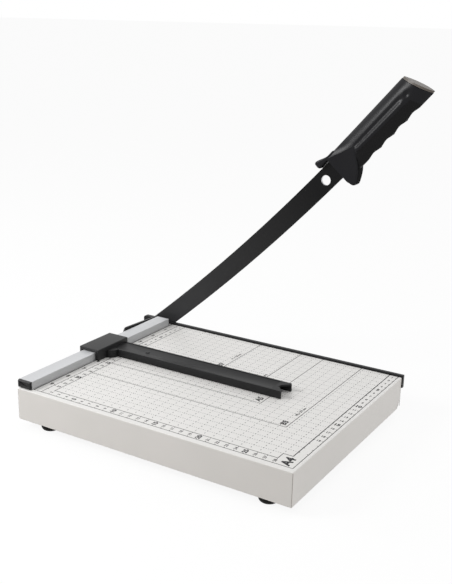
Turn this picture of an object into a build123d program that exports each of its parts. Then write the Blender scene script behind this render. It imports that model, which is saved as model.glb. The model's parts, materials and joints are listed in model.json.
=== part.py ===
from build123d import *
from math import cos, radians, sin
import os

# Lever paper trimmer for A4 sheets, in millimetres.
# X runs along the cut from the pivot to the handle, Y across the table towards the cut, Z up.
# The origin is on the desk, under the middle of the table.

# Fits shared by the whole machine
overrun = 1.0  # how far a cutting shape passes the face that it opens
plain_fit = 0.2  # radial room of a screw in a plain hole
thread_fit = 0.05  # radial room of a screw in a tapped hole
running_fit = 0.05  # radial room of a shaft in its bush
press_fit = 0.02  # radial room left round a pressed piece
slide_fit = 0.3  # room between pieces that slide past each other

# Shapes shared by the fasteners
hex_sides = 6
right_angle = 90.0
head_round_share = 0.4

# Base tray, pressed from sheet steel
base_width = 320.0
base_depth = 252.5
base_height = 34.5
sheet = 1.5
bend_inside = 0.9  # inner radius of the folds
rear_roll = 9.0  # outer radius of the rear wall's foot
flange_width = 30.0

# Rubber feet
foot_height = 9.0
foot_radius = 10.0
foot_round = 4.0
foot_recess_room = 0.7  # round the screw's head
foot_recess_depth = 4.2
foot_inset_x = 30.3
foot_inset_y = 15.0
foot_screw_radius = 2.0
foot_screw_head_radius = 3.7
foot_screw_head_height = 2.4
foot_nut_flats = 7.0
foot_nut_height = 3.2
foot_screw_tail = 1.0  # thread that shows above the nut

# Fixed lower knife on the rear wall
knife_thickness = 4.0
knife_proud = 2.2  # above the table
knife_margin = 1.7  # below the countersinks
knife_overhang = 1.2  # past the right wall
knife_start = 0.4  # from the left wall
knife_bevel = 0.7
knife_screw_count = 5
knife_screw_inset = 26.0
knife_screw_radius = 2.0
knife_sink_radius = 3.6
knife_head_room = 0.3  # between a countersunk head and its seat
knife_head_sunk = 0.15  # below the knife's face
bar_thickness = 6.0
bar_height = 8.0
bar_inset = 12.0
bar_room = 0.3  # below the fold of the table

# Guide rail, an aluminium tube along the left edge
rail_width = 18.4
rail_height = 9.0
rail_wall = 1.4
rail_corner = 0.6
rail_outer_round = 2.0  # along the tube's outer top edge
rail_overhang = 2.2  # past the left wall
rail_front_gap = 4.2
rail_rear_gap = 7.2
rail_screw_count = 3
rail_screw_inset = 22.0
rail_screw_room = 0.8  # from the tube's inner wall
rail_screw_radius = 1.75
rail_screw_head_radius = 3.2
rail_screw_head_height = 2.2
rail_screw_reach = 4.0  # above the table
plug_lip = 2.4
plug_bevel = 1.1
plug_inset = 0.2  # of the lip inside the tube's outline
plug_depth = 12.0
plug_fit = 0.05

# Pivot bracket on the left wall
bracket_gap = 0.6  # between the rail and the upright leg
leg_thickness = 2.5
leg_top = 8.6  # above the table
leg_reach = 72.0  # from the table's rear edge to the leg's nose
leg_nose_radius = 6.0
bracket_depth = 30.0  # below the table
pad_top = 4.5  # below the table
ear_margin = 13.0  # from the pivot to the ear's outer side
ear_thickness = 5.7
ear_top = 5.0  # above the table
ear_corner = 3.0
bracket_screw_count = 2
bracket_screw_first = 27.0  # from the table's rear edge
bracket_screw_pitch = 24.0
bracket_screw_drop = 17.0
bracket_screw_radius = 2.5
bracket_screw_head_radius = 4.6
bracket_screw_head_height = 3.2
bracket_nut_flats = 8.0
bracket_nut_height = 4.0
bracket_screw_tail = 1.5

# Pivot bolt, washers and disc springs
pivot_room = 0.5  # between the disc springs and the upright leg
pivot_drop = 15.0  # below the table
bolt_shoulder_radius = 4.0
bolt_thread_radius = 3.0
bolt_head_radius = 7.5
bolt_head_height = 5.0
bolt_head_dome = 1.6
bolt_tail = 1.6
thrust_washer_radius = 9.0
thrust_washer_height = 2.0
head_washer_radius = 9.5
head_washer_height = 1.2
spring_count = 4
spring_radius = 5.9
spring_sheet = 0.7
spring_cone = 0.5
spring_gap = 0.05
lock_nut_flats = 10.0
lock_nut_height = 6.0
lock_nut_collar = 1.4
lock_nut_collar_radius = 4.4

# Moving blade, raised as it stands in the photograph
arm_rise = 43.5  # degrees above the table
blade_thickness = 2.5
edge_start = 27.0  # from the pivot, along the blade
edge_short = 1.5  # of the right wall, with the blade down
edge_drop = 8.3  # of the cutting edge's ends below the pivot
edge_belly = 4.7
blade_width = 23.2
back_belly = 5.4
bevel_width = 5.0
bevel_thickness = 1.8
heel_radius = 15.6
heel_turn_share = 0.35
heel_drop_share = 0.93
hole_inset = 15.4  # from the end of the cutting edge
hole_rise = 1.9
hole_radius = 5.5
bush_radius = 6.0

# Handle, measured along its axis from the end of the cutting edge
handle_cant = 5.0  # degrees, from the blade's chord
handle_drop = 0.9  # of the handle's axis below the middle of the blade
handle_height = 34.0
handle_thickness = 16.0
handle_edge_radius = 1.2
core_start = 5.0
handle_end_top = 121.6
handle_end_bottom = 134.0
grip_start = 35.0
grip_end = 117.0
grip_drop = 2.4  # of the grip's upper line below the axis
groove_count = 4
groove_first = 44.7
groove_pitch = 19.5
groove_depth = 2.2
end_cap_thickness = 2.4
guard_face = 3.8
guard_rise = 16.2  # of the guard's upper corner above the axis
guard_tip = 35.0
guard_tip_rise = 2.1
guard_root = 30.0
guard_root_drop = 15.8  # below the axis
guard_lobe = 17.2
guard_lobe_drop = 25.2
guard_low = 9.6
guard_low_drop = 26.7
guard_heel_drop = 19.5
guard_thickness = 21.0
guard_draft = 7.0  # degrees, of the mould
guard_edge_radius = 1.6
lip_overlap = 10.2  # over the blade's back
lip_root = 10.8
lip_rise = 22.6
lip_thickness = 9.6
lip_width = 15.0
lip_edge_radius = 2.4
lip_flare_share = 0.8
ridge_start = 36.2
ridge_end = 107.2
ridge_width = 4.4
ridge_rise = 0.9
ridge_round = 1.3
moat_width = 5.2
moat_depth = 1.5
moat_rise = 2.8  # of the groove's middle above the axis
dimple_reach = 113.9
dimple_radius = 3.4
dimple_depth = 1.1
tang_overlap = 2.0  # back over the blade
tang_end = 85.8
tang_rise = 12.1
tang_drop = 10.4
tang_room = 0.15
pin_radius = 2.0
pin_rise = 6.5
pin_first = 43.8
pin_pitch = 32.0
pin_count = 2
pin_front = 4.0  # reach in front of the blade's middle
pin_back = 7.0

# Paper gauge
gauge_setting = 100.3  # from the table's rear edge to the gauge's stop face
slider_lead = 4.3  # of the slider's rear face past the stop face
slider_length = 52.5
slider_roof = 3.7
slider_wall_left = 3.0
slider_wall_right = 4.5
slider_lift = 0.5  # above the table
hook_depth = 2.5
hook_clear = 0.5  # from the left wall
slider_edge = 0.7
pad_length = 30.0
pad_width = 9.0
pad_thickness = 1.2
gauge_reach = 217.2  # from the slider to the arm's end
gauge_width = 24.7
gauge_height = 8.9  # above the table
gauge_lift = 0.4
gauge_wall = 2.0
gauge_roof = 1.9
flare_radius = 9.0
panel_depth = 0.5
panel_rib = 1.8
panel_start = 1.0
panel_end = 12.0
notch_depth = 7.5
notch_width = 19.0
notch_floor = 5.0
tongue_length = 48.0
tongue_fit = 0.2
gauge_screw_reach = 41.6
gauge_screw_radius = 1.6
gauge_screw_head_radius = 2.5
gauge_screw_head_height = 0.5
gauge_screw_length = 5.5

# Places worked out from the sizes above
left = -base_width / 2
right = base_width / 2
front = -base_depth / 2
back = base_depth / 2
table = foot_height + base_height
bend_radius = sheet + bend_inside
pivot_z = table - pivot_drop
knife_face = back + knife_thickness
blade_inner = knife_face + slide_fit
blade_outer = blade_inner + blade_thickness
blade_middle = (blade_inner + blade_outer) / 2
rail_left = left - rail_overhang
rail_right = rail_left + rail_width
rail_front = front + rail_front_gap
rail_rear = back - rail_rear_gap
leg_inner = rail_left - bracket_gap
leg_outer = leg_inner - leg_thickness
pivot_x = leg_outer - spring_radius - pivot_room
pad_reach = leg_reach - leg_nose_radius
ear_back = knife_face - thrust_washer_height
ear_front = ear_back - ear_thickness
slider_right = rail_right + slide_fit + slider_wall_right
gauge_stop = back - gauge_setting
slider_rear = gauge_stop + slider_lead
slider_middle = slider_rear - slider_length / 2
gauge_front = gauge_stop - gauge_width
slider_height = rail_height + slide_fit + slider_roof
knife_screw_drop = bend_radius + bar_room + bar_height / 2
knife_depth = knife_screw_drop + knife_sink_radius + knife_margin
edge_end = right - edge_short - pivot_x
handle_top = handle_height / 2
handle_bottom = -handle_height / 2
half_thickness = handle_thickness / 2
dimple_ball = (dimple_radius**2 + dimple_depth**2) / (2 * dimple_depth)
pin_places = [(pin_first + pin_pitch * step, pin_rise) for step in range(pin_count)]


def arm_plane(y):
    """Plane across the pivot, local X along the raised blade, facing the table."""
    along = (cos(radians(arm_rise)), 0, sin(radians(arm_rise)))
    return Plane(origin=(pivot_x, y, pivot_z), x_dir=along, z_dir=(0, -1, 0))


def handle_plane(y):
    """Plane at the blade's end, local X along the handle's axis, facing the table."""
    angle = radians(arm_rise + handle_cant)
    start = arm_plane(y).from_local_coords((edge_end, blade_width / 2 - edge_drop - handle_drop, 0))
    return Plane(origin=start, x_dir=(cos(angle), 0, sin(angle)), z_dir=(0, -1, 0))


def handle_section(reach, height):
    """Plane square to the handle, local X across its height."""
    side = handle_plane(blade_middle)
    return Plane(origin=side.from_local_coords((reach, height, 0)), x_dir=side.y_dir, z_dir=side.x_dir)


def pivot_at(y, facing=1):
    """Plane square to the pivot, facing away from the table, or towards it."""
    return Plane(origin=(pivot_x, y, pivot_z), x_dir=(1, 0, 0), z_dir=(0, facing, 0))


def pan_screw(radius, length, head_radius, head_height):
    """Screw with its head above local zero and its shank below."""
    with BuildPart() as screw:
        Cylinder(head_radius, head_height, align=(Align.CENTER, Align.CENTER, Align.MIN))
        chamfer(screw.edges().sort_by(Axis.Z)[-1], length=head_height * head_round_share)
        Cylinder(radius, length, align=(Align.CENTER, Align.CENTER, Align.MAX))
    return screw.part


def hex_nut(hole_radius, flats, height):
    """Plain nut on local zero."""
    with BuildPart() as nut:
        with BuildSketch():
            RegularPolygon(flats / 2, side_count=hex_sides, major_radius=False)
            Circle(hole_radius, mode=Mode.SUBTRACT)
        extrude(amount=height)
    return nut.part


def keep(piece, name):
    """Name a finished piece and write it."""
    piece.part.label = name
    export_step(piece.part, f"parts/{name}.step")


def evenly(first, last, count):
    """Evenly spaced places from first to last."""
    return [first + (last - first) * step / (count - 1) for step in range(count)]


os.makedirs("parts", exist_ok=True)

foot_x = base_width / 2 - foot_inset_x
foot_y = base_depth / 2 - foot_inset_y
foot_places = [(x, y) for x in (-foot_x, foot_x) for y in (-foot_y, foot_y)]
knife_screw_xs = evenly(left + knife_screw_inset, right - knife_screw_inset, knife_screw_count)
knife_screw_z = table - knife_screw_drop
rail_screw_ys = evenly(rail_front + rail_screw_inset, rail_rear - rail_screw_inset, rail_screw_count)
rail_screw_x = rail_right - rail_wall - rail_screw_room - rail_screw_radius
bracket_screw_z = table - bracket_screw_drop
bracket_screw_ys = [
    back - bracket_screw_first - bracket_screw_pitch * step for step in range(bracket_screw_count)
]
knife_holes = [Plane(origin=(x, knife_face, knife_screw_z), z_dir=(0, 1, 0)) for x in knife_screw_xs]
bracket_holes = [
    Plane(origin=(leg_outer, y, bracket_screw_z), z_dir=(-1, 0, 0)) for y in bracket_screw_ys
]

# Base tray: a folded box, open below, with a flange turned in round its foot
with BuildPart() as base_housing:
    with BuildSketch(Plane.YZ.offset(left)) as side:
        with Locations((0, foot_height)):
            Rectangle(base_depth, base_height, align=(Align.CENTER, Align.MIN))
        rear_foot = side.vertices().group_by(Axis.X)[-1].sort_by(Axis.Y)[0]
        fillet(rear_foot, radius=rear_roll)
    extrude(amount=base_width)
    long_folds = base_housing.edges().filter_by(Axis.X)
    front_folds = long_folds.group_by(Axis.Y)[0]
    rear_fold = long_folds.group_by(Axis.Z)[-1].sort_by(Axis.Y)[-1:]
    side_folds = base_housing.faces().filter_by(Axis.X).edges()
    fillet(side_folds + front_folds + rear_fold, radius=bend_radius)
    offset(amount=-sheet, mode=Mode.SUBTRACT)
    with BuildSketch(Plane.XY.offset(foot_height)):
        Rectangle(base_width - 2 * flange_width, base_depth - 2 * flange_width)
    extrude(amount=sheet, mode=Mode.SUBTRACT)
    with BuildSketch(Plane.XY.offset(foot_height)):
        with Locations(*foot_places):
            Circle(foot_screw_radius + plain_fit)
    extrude(amount=sheet, mode=Mode.SUBTRACT)
    with BuildSketch(Plane.XY.offset(table)):
        with Locations(*[(rail_screw_x, y) for y in rail_screw_ys]):
            Circle(rail_screw_radius + plain_fit)
    extrude(amount=-sheet, mode=Mode.SUBTRACT)
    for place in knife_holes:
        with BuildSketch(place.offset(-knife_thickness)):
            Circle(knife_screw_radius + plain_fit)
    extrude(amount=-sheet, mode=Mode.SUBTRACT)
    for place in bracket_holes:
        with BuildSketch(place.offset(leg_outer - left)):
            Circle(bracket_screw_radius + plain_fit)
    extrude(amount=-sheet, mode=Mode.SUBTRACT)
keep(base_housing, "base_housing")

# Rubber feet: domed pads with a recess for the screw
with BuildPart() as foot:
    Cylinder(foot_radius, foot_height, align=(Align.CENTER, Align.CENTER, Align.MIN))
    fillet(foot.edges().sort_by(Axis.Z)[0], radius=foot_round)
    with Locations((0, 0, 0)):
        CounterBoreHole(
            foot_screw_radius + plain_fit,
            foot_screw_head_radius + foot_recess_room,
            foot_recess_depth,
        )
with BuildPart() as rubber_feet:
    with Locations(*foot_places):
        add(foot.part)
keep(rubber_feet, "rubber_feet")

foot_screw_seat = [Plane(origin=(x, y, foot_recess_depth), z_dir=(0, 0, -1)) for x, y in foot_places]
foot_nut_seat = [Plane(origin=(x, y, foot_height + sheet)) for x, y in foot_places]
foot_screw_length = foot_height + sheet + foot_nut_height + foot_screw_tail - foot_recess_depth

foot_screw = pan_screw(foot_screw_radius, foot_screw_length, foot_screw_head_radius, foot_screw_head_height)
with BuildPart() as foot_screws:
    with Locations(*foot_screw_seat):
        add(foot_screw)
keep(foot_screws, "foot_screws")

foot_nut = hex_nut(foot_screw_radius + thread_fit, foot_nut_flats, foot_nut_height)
with BuildPart() as foot_nuts:
    with Locations(*foot_nut_seat):
        add(foot_nut)
keep(foot_nuts, "foot_nuts")

# Fixed knife: a steel strip on the rear wall, its top edge just proud of the table
with BuildPart() as fixed_blade:
    with BuildSketch(Plane.YZ.offset(left + knife_start)):
        with Locations((back, table - knife_depth)):
            Rectangle(knife_thickness, knife_depth + knife_proud, align=(Align.MIN, Align.MIN))
    extrude(amount=base_width - knife_start + knife_overhang)
    table_side = fixed_blade.edges().filter_by(Axis.X).group_by(Axis.Z)[-1].sort_by(Axis.Y)[0]
    chamfer(table_side, length=knife_bevel)
    with Locations(*knife_holes):
        CounterSinkHole(
            knife_screw_radius + plain_fit,
            knife_sink_radius,
            depth=knife_thickness,
            counter_sink_angle=right_angle,
        )
keep(fixed_blade, "fixed_blade")

# Backing bar: tapped for the knife screws, inside the rear wall
with BuildPart() as knife_backing_bar:
    with BuildSketch(Plane.YZ.offset(left + bar_inset)):
        with Locations((back - sheet, knife_screw_z)):
            Rectangle(bar_thickness, bar_height, align=(Align.MAX, Align.CENTER))
    extrude(amount=base_width - 2 * bar_inset)
    for place in knife_holes:
        with BuildSketch(place.offset(-knife_thickness - sheet)):
            Circle(knife_screw_radius + thread_fit)
    extrude(amount=-bar_thickness, mode=Mode.SUBTRACT)
keep(knife_backing_bar, "knife_backing_bar")

# Countersunk screws that hold the knife to the bar
knife_head_radius = knife_sink_radius - knife_head_room
knife_head_height = knife_head_radius - knife_screw_radius
with BuildPart() as knife_screw:
    with Locations((0, 0, -knife_head_sunk)):
        Cone(
            knife_screw_radius,
            knife_head_radius,
            knife_head_height,
            align=(Align.CENTER, Align.CENTER, Align.MAX),
        )
        Cylinder(
            knife_screw_radius,
            knife_thickness + sheet + bar_thickness,
            align=(Align.CENTER, Align.CENTER, Align.MAX),
        )
with BuildPart() as knife_screws:
    with Locations(*knife_holes):
        add(knife_screw.part)
keep(knife_screws, "knife_screws")

# Guide rail: a rectangular tube, open at both ends
with BuildPart() as guide_rail:
    with BuildSketch(Plane.XZ.offset(-rail_front)) as tube:
        with Locations((rail_left + rail_width / 2, table + rail_height / 2)):
            Rectangle(rail_width, rail_height)
            outer_corner = tube.vertices().group_by(Axis.X)[0].sort_by(Axis.Y)[-1]
            fillet(outer_corner, radius=rail_outer_round)
            fillet(tube.vertices().group_by(Axis.X)[-1], radius=rail_corner)
            Rectangle(rail_width - 2 * rail_wall, rail_height - 2 * rail_wall, mode=Mode.SUBTRACT)
    extrude(amount=rail_front - rail_rear)
    with BuildSketch(Plane.XY.offset(table)):
        with Locations(*[(rail_screw_x, y) for y in rail_screw_ys]):
            Circle(rail_screw_radius + thread_fit)
    extrude(amount=rail_wall, mode=Mode.SUBTRACT)
keep(guide_rail, "guide_rail")


def rail_plug(end, outward):
    """End plug: a bevelled lip over the tube's end and a body inside it."""
    middle = (rail_left + rail_width / 2, end, table + rail_height / 2)
    face = Plane(origin=middle, x_dir=(1, 0, 0), z_dir=(0, outward, 0))
    with BuildPart() as plug:
        with BuildSketch(face):
            Rectangle(rail_width - 2 * plug_inset, rail_height - 2 * plug_inset)
        extrude(amount=plug_lip)
        outer_edge = plug.edges().filter_by(Axis.Y).group_by(Axis.Z)[-1].sort_by(Axis.X)[0]
        fillet(outer_edge, radius=rail_outer_round - plug_inset)
        outer_rim = plug.faces().sort_by(Axis.Y, reverse=outward > 0)[0].edges()
        chamfer(outer_rim, length=plug_bevel)
        inside = rail_wall + plug_fit
        with BuildSketch(face):
            Rectangle(rail_width - 2 * inside, rail_height - 2 * inside)
        extrude(amount=-plug_depth)
    return plug


keep(rail_plug(rail_front, -1), "rail_front_plug")
keep(rail_plug(rail_rear, 1), "rail_rear_plug")

# Rail screws, driven up from inside the tray
rail_screw_seat = [Plane(origin=(rail_screw_x, y, table - sheet), z_dir=(0, 0, -1)) for y in rail_screw_ys]
rail_screw = pan_screw(
    rail_screw_radius,
    sheet + rail_screw_reach,
    rail_screw_head_radius,
    rail_screw_head_height,
)
with BuildPart() as rail_screws:
    with Locations(*rail_screw_seat):
        add(rail_screw)
keep(rail_screws, "rail_screws")

# Pivot bracket: an upright leg beside the rail, a pad on the left wall and an ear for the bolt
with BuildPart() as pivot_bracket:
    with BuildSketch(Plane.YZ.offset(leg_outer)):
        with BuildLine():
            Polyline(
                (ear_back, table - bracket_depth),
                (back - leg_reach, table - bracket_depth),
                (back - leg_reach, table + leg_top),
                (ear_back - ear_thickness, table + leg_top),
                (ear_back, table + ear_top),
                close=True,
            )
        make_face()
    extrude(amount=leg_thickness)
    nose = pivot_bracket.edges().filter_by(Axis.X).group_by(Axis.Y)[0]
    fillet(nose, radius=leg_nose_radius)
    with BuildSketch(Plane.YZ.offset(leg_inner)):
        with Locations((back - pad_reach, table - bracket_depth)):
            Rectangle(pad_reach, bracket_depth - pad_top, align=(Align.MIN, Align.MIN))
    extrude(amount=left - leg_inner)
    with BuildSketch(Plane.XZ.offset(-ear_front)):
        with Locations((leg_inner, table - bracket_depth)):
            Rectangle(
                leg_inner - pivot_x + ear_margin,
                bracket_depth + ear_top,
                align=(Align.MAX, Align.MIN),
            )
    extrude(amount=ear_front - ear_back)
    corners = pivot_bracket.edges().filter_by(Axis.Y).group_by(Axis.X)[0]
    fillet(corners, radius=ear_corner)
    with BuildSketch(Plane.XZ.offset(-ear_front)):
        with Locations((pivot_x, pivot_z)):
            Circle(bolt_thread_radius + plain_fit)
    extrude(amount=ear_front - ear_back, mode=Mode.SUBTRACT)
    for place in bracket_holes:
        with BuildSketch(place):
            Circle(bracket_screw_radius + plain_fit)
    extrude(amount=leg_outer - left, mode=Mode.SUBTRACT)
keep(pivot_bracket, "pivot_bracket")

bracket_screw_length = left - leg_outer + sheet + bracket_nut_height + bracket_screw_tail
bracket_screw = pan_screw(
    bracket_screw_radius,
    bracket_screw_length,
    bracket_screw_head_radius,
    bracket_screw_head_height,
)
with BuildPart() as bracket_screws:
    with Locations(*bracket_holes):
        add(bracket_screw)
keep(bracket_screws, "bracket_screws")

bracket_nut_seat = [
    Plane(origin=(left + sheet, y, bracket_screw_z), z_dir=(1, 0, 0)) for y in bracket_screw_ys
]
bracket_nut = hex_nut(bracket_screw_radius + thread_fit, bracket_nut_flats, bracket_nut_height)
with BuildPart() as bracket_nuts:
    with Locations(*bracket_nut_seat):
        add(bracket_nut)
keep(bracket_nuts, "bracket_nuts")

# Pivot bolt: a shoulder bolt whose step seats on the ear, with the head behind the blade
head_seat = blade_outer + slide_fit + head_washer_height
spring_pitch = spring_sheet + spring_cone + spring_gap
spring_stack = spring_count * spring_pitch
nut_face = ear_front - spring_stack
bolt_end = nut_face - lock_nut_height - lock_nut_collar - bolt_tail
with BuildPart() as pivot_bolt:
    with BuildSketch(pivot_at(head_seat)):
        RegularPolygon(bolt_head_radius, side_count=hex_sides)
    extrude(amount=bolt_head_height)
    crown = pivot_bolt.faces().sort_by(Axis.Y)[-1].edges()
    chamfer(crown, length=bolt_head_dome)
    with BuildSketch(pivot_at(head_seat)):
        Circle(bolt_shoulder_radius)
    extrude(amount=ear_back - head_seat)
    with BuildSketch(pivot_at(ear_back)):
        Circle(bolt_thread_radius)
    extrude(amount=bolt_end - ear_back)
keep(pivot_bolt, "pivot_bolt")

with BuildPart() as thrust_washer:
    with BuildSketch(pivot_at(ear_back)):
        Circle(thrust_washer_radius)
        Circle(bolt_shoulder_radius + running_fit, mode=Mode.SUBTRACT)
    extrude(amount=thrust_washer_height)
keep(thrust_washer, "thrust_washer")

with BuildPart() as head_washer:
    with BuildSketch(pivot_at(head_seat)):
        Circle(head_washer_radius)
        Circle(bolt_shoulder_radius + running_fit, mode=Mode.SUBTRACT)
    extrude(amount=-head_washer_height)
keep(head_washer, "head_washer")

# Disc springs: coned rings in pairs, back to back, that keep the blade against the knife
with BuildPart() as disc_spring:
    with BuildSketch(Plane.XZ):
        with BuildLine():
            Polyline(
                (bolt_thread_radius + plain_fit, spring_cone),
                (spring_radius, 0),
                (spring_radius, spring_sheet),
                (bolt_thread_radius + plain_fit, spring_cone + spring_sheet),
                close=True,
            )
        make_face()
    revolve(axis=Axis.Z)
with BuildPart() as disc_springs:
    for step in range(spring_count):
        near = ear_front - step * spring_pitch
        seat = pivot_at(near - spring_pitch) if step % 2 else pivot_at(near, facing=-1)
        with Locations(seat):
            add(disc_spring.part)
keep(disc_springs, "disc_springs")

with BuildPart() as lock_nut:
    with BuildSketch(pivot_at(nut_face)):
        RegularPolygon(lock_nut_flats / 2, side_count=hex_sides, major_radius=False)
    extrude(amount=-lock_nut_height)
    with BuildSketch(pivot_at(nut_face - lock_nut_height)):
        Circle(lock_nut_collar_radius)
    extrude(amount=-lock_nut_collar)
    with BuildSketch(pivot_at(nut_face)):
        Circle(bolt_thread_radius + thread_fit)
    extrude(amount=-lock_nut_height - lock_nut_collar, mode=Mode.SUBTRACT)
keep(lock_nut, "lock_nut")

# Moving blade: a bowed strip with a round heel at the pivot and a tang inside the handle
edge_middle = (edge_start + edge_end) / 2
back_top = blade_width - edge_drop
heel_turn = (heel_radius * heel_turn_share, -heel_radius * heel_drop_share)
with BuildPart() as moving_blade:
    with BuildSketch(arm_plane(blade_outer)):
        with BuildLine():
            cutting_edge = ThreePointArc(
                (edge_start, -edge_drop),
                (edge_middle, -edge_drop - edge_belly),
                (edge_end, -edge_drop),
            )
            Line(cutting_edge @ 1, (edge_end, back_top))
            back_edge = ThreePointArc(
                (edge_end, back_top),
                (edge_middle, back_top - back_belly),
                (0, heel_radius),
            )
            Polyline(back_edge @ 1, (0, 0), heel_turn, cutting_edge @ 0)
        make_face()
    extrude(amount=blade_thickness)
    outer_face = moving_blade.faces().sort_by(Axis.Y)[-1]
    across = Axis((0, 0, 0), arm_plane(blade_outer).y_dir)
    ground_edge = outer_face.edges().filter_by(GeomType.CIRCLE).sort_by(across)[0]
    chamfer(ground_edge, length=bevel_width, length2=bevel_thickness, reference=outer_face)
    with BuildSketch(arm_plane(blade_outer)):
        Circle(heel_radius)
    with BuildSketch(handle_plane(blade_outer)):
        with Locations((-tang_overlap, -tang_drop)):
            Rectangle(tang_end + tang_overlap, tang_rise + tang_drop, align=(Align.MIN, Align.MIN))
    extrude(amount=blade_thickness)
    with BuildSketch(arm_plane(blade_outer)):
        Circle(bush_radius + press_fit)
        with Locations((edge_end - hole_inset, hole_rise)):
            Circle(hole_radius)
    with BuildSketch(handle_plane(blade_outer)):
        with Locations(*pin_places):
            Circle(pin_radius + press_fit)
    extrude(amount=blade_thickness, mode=Mode.SUBTRACT)
keep(moving_blade, "moving_blade")

with BuildPart() as pivot_bush:
    with BuildSketch(pivot_at(blade_inner)):
        Circle(bush_radius)
        Circle(bolt_shoulder_radius + running_fit, mode=Mode.SUBTRACT)
    extrude(amount=blade_thickness)
keep(pivot_bush, "pivot_bush")

# Handle core: a lens section along the handle, scalloped below for the fingers
first_crest = groove_first - groove_pitch / 2
crests = [first_crest + groove_pitch * step for step in range(groove_count + 1)]
valleys = [groove_first + groove_pitch * step for step in range(groove_count)]
wave = [(reach, handle_bottom) for reach in crests]
wave += [(reach, handle_bottom + groove_depth) for reach in valleys]
wave.sort()
with BuildPart() as handle_core:
    with BuildSketch(handle_section(core_start, 0)) as lens:
        with BuildLine():
            ThreePointArc((handle_bottom, 0), (0, half_thickness), (handle_top, 0))
            ThreePointArc((handle_top, 0), (0, -half_thickness), (handle_bottom, 0))
        make_face()
        fillet(lens.vertices(), radius=handle_edge_radius)
    extrude(amount=handle_end_bottom - core_start)
    with BuildSketch(handle_plane(blade_middle)):
        with BuildLine():
            fingers = Spline(*wave)
            Polyline(
                fingers @ 1,
                (handle_end_bottom, handle_bottom),
                (handle_end_top, handle_top),
                (core_start, handle_top),
                (core_start, handle_bottom),
                fingers @ 0,
            )
        make_face()
    extrude(amount=handle_thickness, both=True, mode=Mode.INTERSECT)

# End of the handle, cut on the slant, and the line where its cap sits
end_slant = (handle_end_bottom - handle_end_top) / handle_height


def end_line(height, inset):
    """Point of the slanted end at a height across the handle."""
    return (handle_end_top + (handle_top - height) * end_slant - inset, height)


with BuildPart() as end_zone:
    with BuildSketch(handle_plane(blade_middle)):
        with BuildLine():
            Polyline(
                end_line(handle_top + overrun, end_cap_thickness),
                end_line(handle_top + overrun, -overrun),
                end_line(handle_bottom - overrun, -overrun),
                end_line(handle_bottom - overrun, end_cap_thickness),
                close=True,
            )
        make_face()
    extrude(amount=handle_thickness, both=True)

with BuildPart() as grip_zone:
    with BuildSketch(handle_plane(blade_middle)):
        with Locations((grip_start, -grip_drop)):
            Rectangle(
                grip_end - grip_start,
                -grip_drop - handle_bottom + overrun,
                align=(Align.MIN, Align.MAX),
            )
    extrude(amount=handle_thickness, both=True)

# Room for the blade's tang and for the pins, shared by the pieces of the handle
with BuildPart() as tang_room_zone:
    with BuildSketch(handle_plane(blade_outer + tang_room)):
        with Locations((-tang_overlap, -tang_drop - tang_room)):
            Rectangle(
                tang_end + tang_overlap + tang_room,
                tang_rise + tang_drop + 2 * tang_room,
                align=(Align.MIN, Align.MIN),
            )
    extrude(amount=blade_thickness + 2 * tang_room)
    with BuildSketch(handle_plane(blade_middle + handle_thickness)):
        with Locations(*pin_places):
            Circle(pin_radius + press_fit)
    extrude(amount=handle_thickness + pin_front)

# Guard: a drafted shield round the blade's end, with a lobe that keeps the fingers off the knife
with BuildPart() as guard:
    with BuildSketch(handle_plane(blade_middle)):
        with BuildLine():
            lobe = Spline(
                (guard_tip, guard_tip_rise),
                (guard_root, -guard_root_drop),
                (guard_lobe, -guard_lobe_drop),
                (guard_low, -guard_low_drop),
                (guard_face, -guard_heel_drop),
            )
            Polyline(lobe @ 1, (guard_face, guard_rise), lobe @ 0)
        make_face()
    extrude(amount=guard_thickness / 2, both=True, taper=guard_draft)
    across = guard.faces().sort_by(Axis.Y)
    fillet(across[0].edges() + across[-1].edges(), radius=guard_edge_radius)

# Ridge along both sides of the handle, with rounded shoulders
with BuildPart() as ridge:
    with BuildSketch(handle_plane(blade_middle)):
        with Locations(((ridge_start + ridge_end) / 2, 0)):
            SlotOverall(ridge_end - ridge_start, ridge_width)
    extrude(amount=half_thickness + ridge_rise, both=True)
    across = ridge.faces().sort_by(Axis.Y)
    fillet(across[0].edges() + across[-1].edges(), radius=ridge_round)

# Handle body: the core, the guard, the lip over the blade's back, the ridges and a groove above each
lip_low = lip_rise - lip_thickness
with BuildPart() as handle_body:
    with BuildSketch(handle_plane(blade_middle)):
        with BuildLine():
            lip_top = Spline(
                (lip_root, guard_rise),
                (-lip_overlap, lip_rise),
                tangents=((-1, 0), (-lip_flare_share, 1)),
            )
            lip_end = ThreePointArc(
                lip_top @ 1,
                (-lip_overlap - lip_edge_radius, lip_rise - lip_thickness / 2),
                (-lip_overlap, lip_low),
            )
            Polyline(lip_end @ 1, (lip_root, lip_low), lip_top @ 0)
        make_face()
    extrude(amount=lip_width / 2, both=True)
    add(guard.part)
    add(handle_core.part)
    for outward in (-1, 1):
        with BuildSketch(handle_plane(blade_middle + outward * (half_thickness - moat_depth))):
            with Locations(((ridge_start + ridge_end) / 2, moat_rise)):
                SlotOverall(ridge_end - ridge_start, moat_width)
        extrude(amount=-outward * handle_thickness, mode=Mode.SUBTRACT)
        dimple_side = handle_plane(blade_middle + outward * (half_thickness + dimple_ball - dimple_depth))
        with Locations(dimple_side.from_local_coords((dimple_reach, 0, 0))):
            Sphere(dimple_ball, mode=Mode.SUBTRACT)
    add(ridge.part)
    add(grip_zone.part, mode=Mode.SUBTRACT)
    add(end_zone.part, mode=Mode.SUBTRACT)
    add(tang_room_zone.part, mode=Mode.SUBTRACT)
keep(handle_body, "handle_body")

with BuildPart() as finger_grip:
    add(handle_core.part)
    add(grip_zone.part, mode=Mode.INTERSECT)
    add(tang_room_zone.part, mode=Mode.SUBTRACT)
keep(finger_grip, "finger_grip")

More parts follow.
